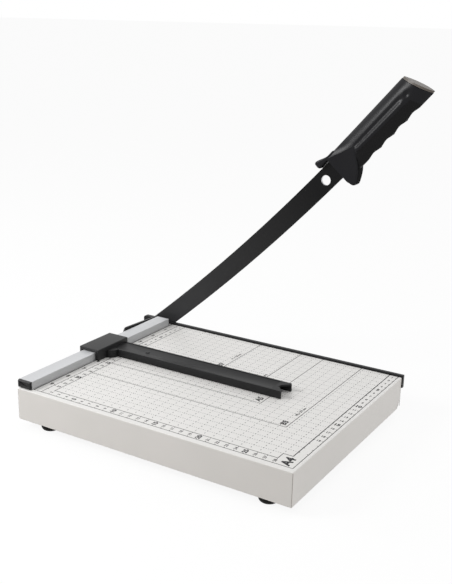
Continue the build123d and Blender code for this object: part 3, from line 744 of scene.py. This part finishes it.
lacquer, tree, place = new_material("lacquered steel, satin black")
lacquered(tree, place, patchy(tree, place, 30, 3.0, "#151516", "#1D1D1E"), 0.2)
for node in ("fixed_blade", "gauge_screw"):
    paint(node, lacquer)

# Blade: a curved steel plate in the same satin black, painted lighter near the pivot and darker towards the
# handle.
# This is a painted reflection of the white table in its low end; only the colour changes, the gloss is the
# same all along.
arm_joint = next(joint for joint in frame["joints"] if joint["name"] == "arm_pivot")
pivot = Vector(arm_joint["pos_m"])
painted_reflection_from = 90 * mm
painted_reflection_to = 300 * mm
blade_reflection_lacquer, tree, place = new_material("lacquered steel, satin black with painted reflection")
reach = add_node(tree, "ShaderNodeVectorMath", {0: place, 1: pivot}, operation="DISTANCE")
reflection_fade = add_node(
    tree,
    "ShaderNodeMapRange",
    {"Value": reach.outputs["Value"], "From Min": painted_reflection_from, "From Max": painted_reflection_to},
)
# Painted reflection: the colour fades from light at the pivot to dark further along the blade
shade = add_node(
    tree,
    "ShaderNodeMix",
    {mix_share: reflection_fade.outputs["Result"], mix_first: srgb("#353536"), mix_second: srgb("#0B0B0C")},
    data_type="RGBA",
)
lacquered(tree, place, shade.outputs[mix_result], 0.13)
paint("moving_blade", blade_reflection_lacquer)

# Bare steel of the blade: the bevel ground on its rear face, and the wall of the hole punched after painting.
# Each is a closed skin that stands a few hundredths of a millimetre over the CAD blade's own faces.
# It is tool steel, bright and finely scratched by the wheel, across the edge.
bare_steel, tree, place = new_material("ground tool steel")
scratch = streaks(tree, place, (0.8, 12, 12))
shade = add_node(
    tree,
    "ShaderNodeMix",
    {mix_share: scratch, mix_first: srgb("#A9A9AB"), mix_second: srgb("#CBCBCD")},
    data_type="RGBA",
)
rough = add_node(tree, "ShaderNodeMapRange", {"Value": scratch, "To Min": 0.25, "To Max": 0.4})
metal = add_node(
    tree,
    "ShaderNodeBsdfPrincipled",
    {"Base Color": shade.outputs[mix_result], "Metallic": 1.0, "Roughness": rough.outputs["Result"]},
)
add_node(tree, "ShaderNodeOutputMaterial", {"Surface": metal.outputs["BSDF"]})
hole = next(mount for mount in frame["record"]["mounts"] if mount["name"] == "hang_hole")
hole_middle = Vector(hole["pos_m"])
hole_margin = 0.3
hole_reach = (hole["dims"]["r_mm"] + hole_margin) * mm
bevel_least, bevel_most = 0.15, 0.97
wall_most = 0.1
skin_lift = 0.03 * mm
skin_thick = 0.08 * mm


def is_bare(face):
    """Whether a face of the blade is on its bevel or on the wall of its hole."""
    if bevel_least < face.normal.y < bevel_most:
        return True
    in_hole = (face.calc_center_median() - hole_middle).length < hole_reach
    return in_hole and abs(face.normal.y) < wall_most


skin = cad_copy("moving_blade")
skin.normal_update()
bmesh.ops.delete(skin, geom=[face for face in skin.faces if not is_bare(face)], context="FACES")
skin.normal_update()
for vert in skin.verts:
    vert.co += vert.normal * skin_lift
bmesh.ops.solidify(skin, geom=skin.faces, thickness=skin_thick)
piece_of("blade_ground_edge", [plain_copy("blade_ground_edge", skin)], "arm", bare_steel)

# Bush: a plain bearing pressed into the blade's heel.
# It is sintered bronze, soaked in oil, so it is dull and slightly speckled.
bronze, tree, place = new_material("sintered bronze")
speckle = patchy(tree, place, 0.5, 4.0, "#7A5B34", "#A98455")
metal = add_node(
    tree, "ShaderNodeBsdfPrincipled", {"Base Color": speckle, "Metallic": 1.0, "Roughness": 0.45}
)
add_node(tree, "ShaderNodeOutputMaterial", {"Surface": metal.outputs["BSDF"]})
paint("pivot_bush", bronze)

# Gauge and plugs: a slider on the rail with the gauge arm screwed to it, and a plug pressed in each rail end.
# They are moulded in black ABS, from spark-eroded moulds that leave a fine even grain on the outside.


def moulded(name, dark, light, grain_mm, depth_mm, roughness, shine):
    """Moulded plastic with a grain of this size and depth."""
    material, tree, place = new_material(name)
    skin = add_node(
        tree,
        "ShaderNodeBsdfPrincipled",
        {
            "Base Color": patchy(tree, place, 25, 2.0, dark, light),
            "Roughness": roughness,
            "IOR": 1.54,
            "Specular IOR Level": shine,
            "Normal": grained(tree, place, grain_mm, 2.0, 0.5, depth_mm),
        },
    )
    add_node(tree, "ShaderNodeOutputMaterial", {"Surface": skin.outputs["BSDF"]})
    return material


# Grained ABS: the gauge and the plugs shine softly. The slider's grain is coarser, and its colour is a little
# lighter, as a painted sheen for its lit top.
gauge_abs = moulded("moulded ABS, grained black", "#121213", "#19191A", 0.7, 0.05, 0.45, 0.22)
slider_abs_painted_sheen = moulded("moulded ABS, coarse grained black with painted sheen", "#141415", "#1C1C1D", 0.9, 0.06, 0.45, 0.34)
panel_margin = 1.7
panel_depth = 0.7
square_on = 0.99
flat_within = math.radians(1)
edge_from = math.radians(35)


def soft_edged(node, body, radius, material, panel=None, lift=None):
    """Copy of a CAD node with rounded edges, points lifted, and a sunk panel on the face towards panel."""
    merged = cad_copy(node)
    bmesh.ops.dissolve_limit(merged, angle_limit=flat_within, verts=merged.verts, edges=merged.edges)
    if lift:
        for vert in merged.verts:
            vert.co.z += lift(vert.co)
    if panel:
        merged.normal_update()
        facing = [face for face in merged.faces if face.normal.dot(panel) > square_on]
        end_face = max(facing, key=lambda face: (face.calc_center_median().dot(panel), face.calc_area()))
        bmesh.ops.inset_individual(
            merged, faces=[end_face], thickness=panel_margin * mm, depth=-panel_depth * mm
        )
    holder = in_scene(node + "_sharp", smooth_copy(node + "_sharp", merged, edge_from))
    rounding = holder.modifiers.new("rounding", "BEVEL")
    rounding.width = radius * mm
    rounding.segments = 2
    rounding.limit_method = "ANGLE"
    rounding.angle_limit = edge_from
    rounding.harden_normals = True
    piece = in_scene(node + "_soft", plain_mesh(holder))
    piece.data.materials.append(material)
    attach(piece, body)
    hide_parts(node)


moulded_edge = 0.5
plug_edge = 0.4
soft_edged("slider_block", "gauge", moulded_edge, slider_abs_painted_sheen)
soft_edged("gauge_arm", "gauge", moulded_edge, gauge_abs)
soft_edged("rail_front_plug", "base", plug_edge, gauge_abs, Vector((0, -1, 0)))
soft_edged("rail_rear_plug", "base", plug_edge, gauge_abs, Vector((0, 1, 0)))

# Pivot bracket: a pressed steel angle on the left wall, lacquered as the knife is.
# Its long leg stands a little above the rail at its round nose and slopes down towards the ear.
bracket_low, bracket_high = (Vector(corner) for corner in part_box("pivot_bracket"))
leg_low = table_z + 5.5 * mm
nose_rise = 2.9 * mm
ear_room = 6.0 * mm
pressed_edge = 0.6


def nose_lift(spot):
    """Rise of a point of the bracket: most at the top of the nose, nothing at the ear."""
    along = (spot.y - bracket_low.y) / (bracket_high.y - ear_room - bracket_low.y)
    up = (spot.z - leg_low) / (bracket_high.z - leg_low)
    return nose_rise * max(1 - along, 0) * max(up, 0)


soft_edged("pivot_bracket", "base", pressed_edge, lacquer, lift=nose_lift)

# Handle: two lens-shaped halves round the blade's tang, with a guard, a lip, a ridge and a grey end cap.
# It is moulded in black ABS from a polished mould, so it is smooth and satin. The finger side is left matt,
# and the guard's wall towards the fingers is etched, so that it stays dull even when seen along its face.
handle_abs = moulded("moulded ABS, satin black", "#08080C", "#0C0C12", 0.5, 0.0005, 0.3, 0.19)
grip_abs = moulded("moulded ABS, matt black", "#131314", "#1A1A1B", 0.6, 0.03, 0.5, 0.12)
wall_abs = moulded("moulded ABS, etched dull black", "#0C0C0D", "#121213", 0.6, 0.04, 0.8, 0.05)
cap_abs = moulded("moulded ABS, grey", "#5E5852", "#6E6862", 0.5, 0.02, 0.4, 0.4)
paint("handle_end_cap", cap_abs)
blade_rise = math.radians(43.5)
handle_rise = blade_rise + math.radians(5.0)
blade_end = Vector((330.2, 2.4))
handle_start = pivot + mm * Vector(
    (
        blade_end.x * math.cos(blade_rise) - blade_end.y * math.sin(blade_rise),
        0,
        blade_end.x * math.sin(blade_rise) + blade_end.y * math.cos(blade_rise),
    )
)
handle_along = Vector((math.cos(handle_rise), 0, math.sin(handle_rise)))
handle_up = Vector((-math.sin(handle_rise), 0, math.cos(handle_rise)))
handle_out = Vector((0, -1, 0))


def in_handle(reach, height, out):
    """Point in the handle's own frame, in millimetres from the blade's end."""
    return handle_start + (handle_along * reach + handle_up * height + handle_out * out) * mm


def ease(value, low, high):
    """Smooth step from 0 at low to 1 at high."""
    share = min(max((value - low) / (high - low), 0), 1)
    return share * share * (3 - 2 * share)


def bell(distance, width):
    """Bell curve: 1 at no distance, fading over this width."""
    return math.exp(-((distance / width) ** 2))


def bulge(share, square, soft):
    """Full round section: 1 where share is 0, falling to 0 at 1; the two powers set how square it is."""
    return (1 - share**square) ** soft


# Outline from the side: finger waves below, and a flare into the lip above
half_height = 17.0
fingers = 4
finger_first = 44.7
finger_pitch = 19.5
finger_depth = 1.5
flare = 5.6
flare_from, flare_to = -11.0, 8.0


def finger_wave(reach):
    """Share of a finger valley at this reach."""
    return 0.5 + 0.5 * math.cos(2 * math.pi * (reach - finger_first) / finger_pitch)


def lower_line(reach):
    """Height of the handle's lower edge."""
    low = -half_height
    if finger_first - finger_pitch / 2 < reach < finger_first + finger_pitch * (fingers - 0.5):
        low += finger_depth * finger_wave(reach)
    return low


def upper_line(reach):
    """Height of the handle's upper edge, which flares up into the lip."""
    return half_height + flare * (1 - ease(reach, flare_from, flare_to))


# Guard: a flat flange from a crease on the handle's side down to a rounded rim in front of the fingers
crease_from = Vector((3.8, 14.6))
crease_to = Vector((38.0, 2.4))
rim_knots = [
    Vector(knot)
    for knot in (
        (38.0, 2.4),
        (34.4, -2.2),
        (31.0, -6.6),
        (27.9, -11.2),
        (25.2, -14.9),
        (20.6, -19.4),
        (13.6, -24.2),
        (8.4, -26.4),
        (5.0, -24.4),
        (3.8, -19.5),
    )
]
rim_steps = 9
bend_parts = 6
past_rim = 1.0
clearly_nearer = 1e-6
# The rim is a smooth curve that passes each knot along the line between the knots beside it
rim = [rim_knots[0]]
for at, (start, end) in enumerate(zip(rim_knots, rim_knots[1:])):
    before, after = rim_knots[max(at - 1, 0)], rim_knots[min(at + 2, len(rim_knots) - 1)]
    leaving, arriving = start + (end - before) / bend_parts, end - (after - start) / bend_parts
    rim += interpolate_bezier(start, leaving, arriving, end, rim_steps)[1:]


def rim_depth(reach, height):
    """Distance inside the guard's rim, below zero outside it."""
    nearest = math.inf
    if reach > rim_knots[0].x + past_rim:
        return -nearest
    spot = Vector((reach, height))
    side = 1
    for start, end in zip(rim, rim[1:]):
        run = end - start
        share = min(max((spot - start).dot(run) / run.length_squared, 0), 1)
        gap = spot - start - run * share
        if gap.length < nearest - clearly_nearer:
            nearest = gap.length
            side = 1 if run.x * gap.y - run.y * gap.x < 0 else -1
    return side * nearest


def under_crease(reach, height):
    """Distance below the crease that bounds the guard's flat face."""
    crease = crease_to - crease_from
    return (crease.y * (reach - crease_from.x) - crease.x * (height - crease_from.y)) / crease.length


# Ridge: runs down a little and widens towards the end, with a groove along its upper side
ridge_from, ridge_to = 38.0, 102.0
ridge_zero, ridge_long = 36.0, 71.0
ridge_height, ridge_fall = -1.9, 1.6
ridge_half, ridge_widens = 2.6, 1.3
ridge_rise = 1.25
groove_above = 1.3
groove_share = 0.7
groove_depth = 0.7
groove_starts = (33.0, 42.0)
groove_stops = (103.0, 111.0)


def ridge_line(reach):
    """Height of the ridge's middle, and its half width."""
    share = (reach - ridge_zero) / ridge_long
    return ridge_height - ridge_fall * share, ridge_half + ridge_widens * share


# Section: a lens, fuller at the neck beside the blade, with a low swell along its upper half
half_thick = 8.0
lens_radius = (half_height**2 + half_thick**2) / (2 * half_thick)
neck = (6.0, 38.0)
neck_half_thick = 8.4
neck_half_height = 19.5
neck_powers = (5, 0.4)
end_fade = (110.0, 118.0)
swell_height, swell_width, swell_rise = 9.5, 4.6, 0.25
# Finger side: a step lower than the ridge, hollowed at each finger, with a dimple behind the ridge's end
step_above, step_below, step_depth = 0.4, 1.4, 0.35
step_starts = (30.0, 40.0)
hollow_depth = 0.7
hollow_fade = (5.0, 14.0)
dimple_reach, dimple_long = 113.6, 3.4
dimple_height, dimple_high = 0.5, 2.5
dimple_depth = 1.1
# Edges: rounded, more so at the neck, and nowhere thinner than a film that keeps the two sides apart
skin_over = 0.25
edge_round, neck_round = 7.0, 14.0
thinnest = 0.05


def side_skin(reach, height):
    """Half thickness of the handle without its guard, at a point of its side."""
    inside = min(abs(height), half_height)
    lens = math.sqrt(lens_radius**2 - inside**2) - lens_radius + half_thick
    full = neck_half_thick * bulge(min(abs(height) / neck_half_height, 1), *neck_powers)
    necked = 1 - ease(reach, *neck)
    skin = lens + (full - lens) * necked
    fade = 1 - ease(reach, *end_fade)
    skin += swell_rise * bell(height - swell_height, swell_width) * fade * (1 - necked)
    middle, half_width = ridge_line(min(max(reach, ridge_from), ridge_to))
    past_ridge = max(ridge_from - reach, 0, reach - ridge_to)
    grooved = ease(reach, *groove_starts) * (1 - ease(reach, *groove_stops))
    from_groove = height - middle - half_width - groove_above
    skin -= groove_depth * bell(from_groove, half_width * groove_share) * grooved
    skin += ridge_rise * bell(math.hypot(past_ridge, height - middle), half_width)
    below = ease(middle - height, half_width - step_above, half_width + step_below)
    hollow = hollow_depth * finger_wave(reach) * ease(-height, *hollow_fade)
    skin -= below * (step_depth + hollow) * ease(reach, *step_starts) * fade
    dimple = bell(reach - dimple_reach, dimple_long) * bell(height - dimple_height, dimple_high)
    skin -= dimple_depth * dimple
    from_edge = max(min(height - lower_line(reach), upper_line(reach) - height), 0)
    edge = math.sqrt(from_edge * (edge_round + neck_round * necked))
    return max(min(skin + skin_over, edge), thinnest)


covered_under, covered_inside, covered_half = 0.8, 4.6, 5.0


def thickness(reach, height):
    """The same, sunk where the guard covers it."""
    skin = side_skin(reach, height)
    if under_crease(reach, height) > covered_under and rim_depth(reach, height) > covered_inside:
        return min(skin, covered_half)
    return skin


guard_half = 8.6
taper_from, taper = 8.0, 0.0036
crease_step = 0.35
rim_round, rim_drop = 2.2, 1.9


def guard_point(along, up):
    """Point of the guard: from its rounded rim, round the fingers, up to the crease."""
    at = min(int(along * (len(rim) - 1)), len(rim) - 2)
    outer = rim[at].lerp(rim[at + 1], along * (len(rim) - 1) - at)
    inner = crease_to.lerp(crease_from, along)
    spot = outer.lerp(inner, up)
    flat_low = guard_half - taper * max(under_crease(*outer) - taper_from, 0) ** 2
    flat_high = side_skin(*inner) + crease_step
    flat = flat_low + (flat_high - flat_low) * up
    rounded = math.sqrt(1 - (1 - min(max(rim_depth(*spot), 0) / rim_round, 1)) ** 2)
    return spot.x, spot.y, flat - rim_drop * (1 - rounded)


face_reach = 3.8
end_low = 131.6
end_high = 119.2
ridge_share = 0.44


def body_point(along, up):
    """Point of the handle's side: from the guard's face to the slanted end, and from the lower edge up."""
    low_reach = face_reach + (end_low - face_reach) * along
    high_reach = face_reach + (end_high - face_reach) * along
    reach = low_reach + (high_reach - low_reach) * up
    low, middle, high = lower_line(low_reach), ridge_line(reach)[0], upper_line(high_reach)
    if up < ridge_share:
        height = low + (middle - low) * up / ridge_share
    else:
        height = middle + (high - middle) * (up - ridge_share) / (1 - ridge_share)
    return reach, height, thickness(reach, height)


lip_from = -12.4
lip_to = 14.0
lip_under = 13.05
lip_half = 7.4
lip_powers = (5, 0.3)
lip_thinnest = 0.3
nose_long = 5.0
nose_powers = (2.4, 0.45)
nose_high_share, nose_wide_share = 0.3, 0.4


def lip_point(along, up):
    """Point of the lip that rests over the blade's back."""
    reach = lip_from + (lip_to - lip_from) * along
    rounded = bulge(1 - min((reach - lip_from) / nose_long, 1), *nose_powers)
    middle = (lip_under + upper_line(reach)) / 2
    half = (upper_line(reach) - lip_under) / 2 * max(rounded, nose_high_share)
    out = lip_half * bulge(abs(2 * up - 1), *lip_powers) * max(rounded, nose_wide_share)
    return reach, middle + (2 * up - 1) * half, max(out, lip_thinnest)


def border(grid):
    """Points round the border of a grid of points, in order."""
    lower, upper = [line[0] for line in grid], [line[-1] for line in grid]
    return lower + grid[-1][1:] + upper[-2::-1] + grid[0][-2:0:-1]


def both_sides(points_at, columns, rows):
    """Closed mesh of a piece with two alike sides: points of the outer side, by column and row."""
    made = bmesh.new()
    along_of = made.verts.layers.float.new("along")
    up_of = made.verts.layers.float.new("up")
    sides = []
    for outward in (1, -1):
        grid = []
        for column in range(columns + 1):
            line = []
            for row in range(rows + 1):
                # Rows lie closer together towards the edges, where the side turns
                along, up = column / columns, 0.5 - 0.5 * math.cos(math.pi * row / rows)
                reach, height, out = points_at(along, up)
                vert = made.verts.new(in_handle(reach, height, outward * out))
                vert[along_of], vert[up_of] = along, up
                line.append(vert)
            grid.append(line)
        sides.append(grid)
        for here, there in zip(grid, grid[1:]):
            for row in range(rows):
                corners = (here[row], there[row], there[row + 1], here[row + 1])
                made.faces.new(corners if outward == 1 else corners[::-1])
    edge, twin = (border(grid) for grid in sides)
    for step in range(len(edge)):
        made.faces.new((edge[step], twin[step], twin[step - 1], edge[step - 1]))
    bmesh.ops.remove_doubles(made, verts=made.verts, dist=same_spot)
    bmesh.ops.recalc_face_normals(made, faces=made.faces)
    return made


grip_top = 0.365
grip_end = 0.88
grip_in_guard = 2.0
grip_thick = 1.2 * mm
bed_depth = 1.5 * mm
handle_sharp_from = math.radians(55)


def in_grip(made, face):
    """Whether a face of the handle's side is on the finger side, below the ridge and clear of the guard."""
    along_of, up_of = (made.verts.layers.float[name] for name in ("along", "up"))
    along = sum(vert[along_of] for vert in face.verts) / len(face.verts)
    up = sum(vert[up_of] for vert in face.verts) / len(face.verts)
    spot = face.calc_center_median() - handle_start
    inside_guard = rim_depth(spot.dot(handle_along) / mm, spot.dot(handle_up) / mm)
    return up < grip_top and along < grip_end and inside_guard < grip_in_guard


def handle_piece(name, made, materials, node):
    """Smooth object on the arm, that stands for a CAD node."""
    for layer in list(made.verts.layers.float.values()):
        made.verts.layers.float.remove(layer)
    piece = in_scene(name, smooth_copy(name, made, handle_sharp_from))
    for material in materials:
        piece.data.materials.append(material)
    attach(piece, "arm")
    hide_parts(node)


# The finger side is a wall of its own, in a bed sunk into the shell; the lip and the guard join the shell
body_grid, lip_grid, guard_grid = (150, 96), (40, 24), (56, 32)
wall_tilt = 0.6
wall_facing = 0.15
shell = both_sides(body_point, *body_grid)
shell.faces.index_update()
shell.normal_update()
grip_faces = {face.index for face in shell.faces if in_grip(shell, face)}
grip = shell.copy()
grip.faces.index_update()
not_grip = [face for face in grip.faces if face.index not in grip_faces]
bmesh.ops.delete(grip, geom=not_grip, context="FACES")
grip.normal_update()
bmesh.ops.solidify(grip, geom=grip.faces, thickness=grip_thick)
for vert in shell.verts:
    if all(face.index in grip_faces for face in vert.link_faces):
        vert.co -= vert.normal * bed_depth
lip = both_sides(lip_point, *lip_grid)
guard = both_sides(guard_point, *guard_grid)
for face in guard.faces:
    if abs(face.normal.y) < wall_tilt and face.normal.dot(handle_along) > wall_facing:
        face.material_index = 1
for part in (lip, guard):
    shell.from_mesh(plain_copy("handle part", part))
handle_piece("handle_shell", shell, (handle_abs, wall_abs), "handle_body")
handle_piece("finger_side", grip, (grip_abs,), "finger_grip")

# Floor: a pale studio sweep that shows white to the camera and keeps the trimmer's soft shadow.
# It throws less light back on the walls than a white floor would, and is clear from below, so that the
# underside shows. It isn't part of the object.


def seen_directly(tree):
    """1 for a ray from the camera, off a gloss or through a clear face, and 0 for one that only lights."""
    ray = add_node(tree, "ShaderNodeLightPath").outputs
    direct = add_node(
        tree, "ShaderNodeMath", {0: ray["Is Camera Ray"], 1: ray["Is Glossy Ray"]}, operation="MAXIMUM"
    )
    shown = add_node(
        tree,
        "ShaderNodeMath",
        {0: direct.outputs["Value"], 1: ray["Is Transmission Ray"]},
        operation="MAXIMUM",
    )
    return shown.outputs["Value"]


sweep, tree = new_material("studio sweep, white")[:2]
shown = seen_directly(tree)
paper = add_node(
    tree,
    "ShaderNodeMix",
    {mix_share: shown, mix_first: srgb("#A69F97"), mix_second: srgb("#FFFFFF")},
    data_type="RGBA",
)
matt = add_node(tree, "ShaderNodeBsdfDiffuse", {"Color": paper.outputs[mix_result]})
white = add_node(tree, "ShaderNodeEmission", {"Color": srgb("#FFFFFF"), "Strength": 1.0})
white_share = 0.9
lifted = add_node(tree, "ShaderNodeMath", {0: shown, 1: white_share}, operation="MULTIPLY")
ground = add_node(
    tree,
    "ShaderNodeMixShader",
    {0: lifted.outputs["Value"], 1: matt.outputs["BSDF"], 2: white.outputs["Emission"]},
)
below = add_node(tree, "ShaderNodeNewGeometry").outputs["Backfacing"]
clear = add_node(tree, "ShaderNodeBsdfTransparent")
one_sided = add_node(
    tree, "ShaderNodeMixShader", {0: below, 1: ground.outputs["Shader"], 2: clear.outputs["BSDF"]}
)
add_node(tree, "ShaderNodeOutputMaterial", {"Surface": one_sided.outputs["Shader"]})
floor_reach = 40.0
corners = [(-1, -1), (1, -1), (1, 1), (-1, 1)]
floor_mesh = bpy.data.meshes.new("studio_floor")
floor_mesh.from_pydata([(x * floor_reach, y * floor_reach, 0) for x, y in corners], [], [(0, 1, 2, 3)])
floor_mesh.materials.append(sweep)
studio_floor = in_scene("studio_floor", floor_mesh)

# Light: a white studio room, brightest above and to the right, that shows plain white behind the trimmer.
# Three round soft lamps stand in it: a key in front on the left, one low on the left, and one on the right.
world = bpy.data.worlds.new("studio")
bpy.context.scene.world = world
world.use_nodes = True
tree = world.node_tree
tree.nodes.clear()
room_low = 0.34
room_high = 0.87
room_shown = 1.0
bright_side = Vector((0.62, 0.2, 0.76)).normalized()
way = add_node(tree, "ShaderNodeTexCoord").outputs["Generated"]
toward = add_node(tree, "ShaderNodeVectorMath", {0: way, 1: bright_side}, operation="DOT_PRODUCT")
room = add_node(
    tree,
    "ShaderNodeMapRange",
    {"Value": toward.outputs["Value"], "To Min": room_low, "To Max": room_high},
)
strength = add_node(
    tree, "ShaderNodeMix", {"Factor": seen_directly(tree), "A": room.outputs["Result"], "B": room_shown}
)
sky = add_node(
    tree, "ShaderNodeBackground", {"Color": srgb("#FFFFFF"), "Strength": strength.outputs["Result"]}
)
add_node(tree, "ShaderNodeOutputWorld", {"Surface": sky.outputs["Background"]})

aimed_at = Vector((0, 0, 0.05))
for lamp_name, lamp_at, lamp_size, lamp_power in (
    ("key_lamp", Vector((-0.7, -0.75, 0.75)), 0.5, 7.5),
    ("left_lamp", Vector((-1.6, -0.45, 0.6)), 0.3, 5.0),
    ("right_lamp", Vector((1.5, 0.7, 0.5)), 0.6, 4.5),
):
    lamp_data = bpy.data.lights.new(lamp_name, "AREA")
    lamp_data.shape = "DISK"
    lamp_data.size = lamp_size
    lamp_data.energy = lamp_power
    lamp = in_scene(lamp_name, lamp_data)
    facing = (lamp_at - aimed_at).to_track_quat("Z", "Y").to_matrix().to_4x4()
    lamp.matrix_world = Matrix.Translation(lamp_at) @ facing

# Camera: stands where the photograph was taken from, in front of the trimmer and to its right.
# Its place, lens and slight roll were found by fitting the table's printed rulers.
camera_data = bpy.data.cameras.new("photo_camera")
camera_data.lens = 54.89
camera = in_scene("photo_camera", camera_data)
azimuth = math.radians(31.495)
elevation = math.radians(17.30)
roll = math.radians(1.145)
looks_at = Vector((-159.876, 280.544, 43.5)) * mm
distance = 1248.5 * mm
behind = Vector(
    (
        math.sin(azimuth) * math.cos(elevation),
        -math.cos(azimuth) * math.cos(elevation),
        math.sin(elevation),
    )
)
level = Vector((math.cos(azimuth), math.sin(azimuth), 0))
above = behind.cross(level)
side = level * math.cos(roll) + above * math.sin(roll)
camera.matrix_world = Matrix.Translation(looks_at + behind * distance) @ Matrix(
    (side, behind.cross(side), behind)
).transposed().to_4x4()
bpy.context.scene.camera = camera
bpy.context.scene.view_settings.view_transform = "Standard"
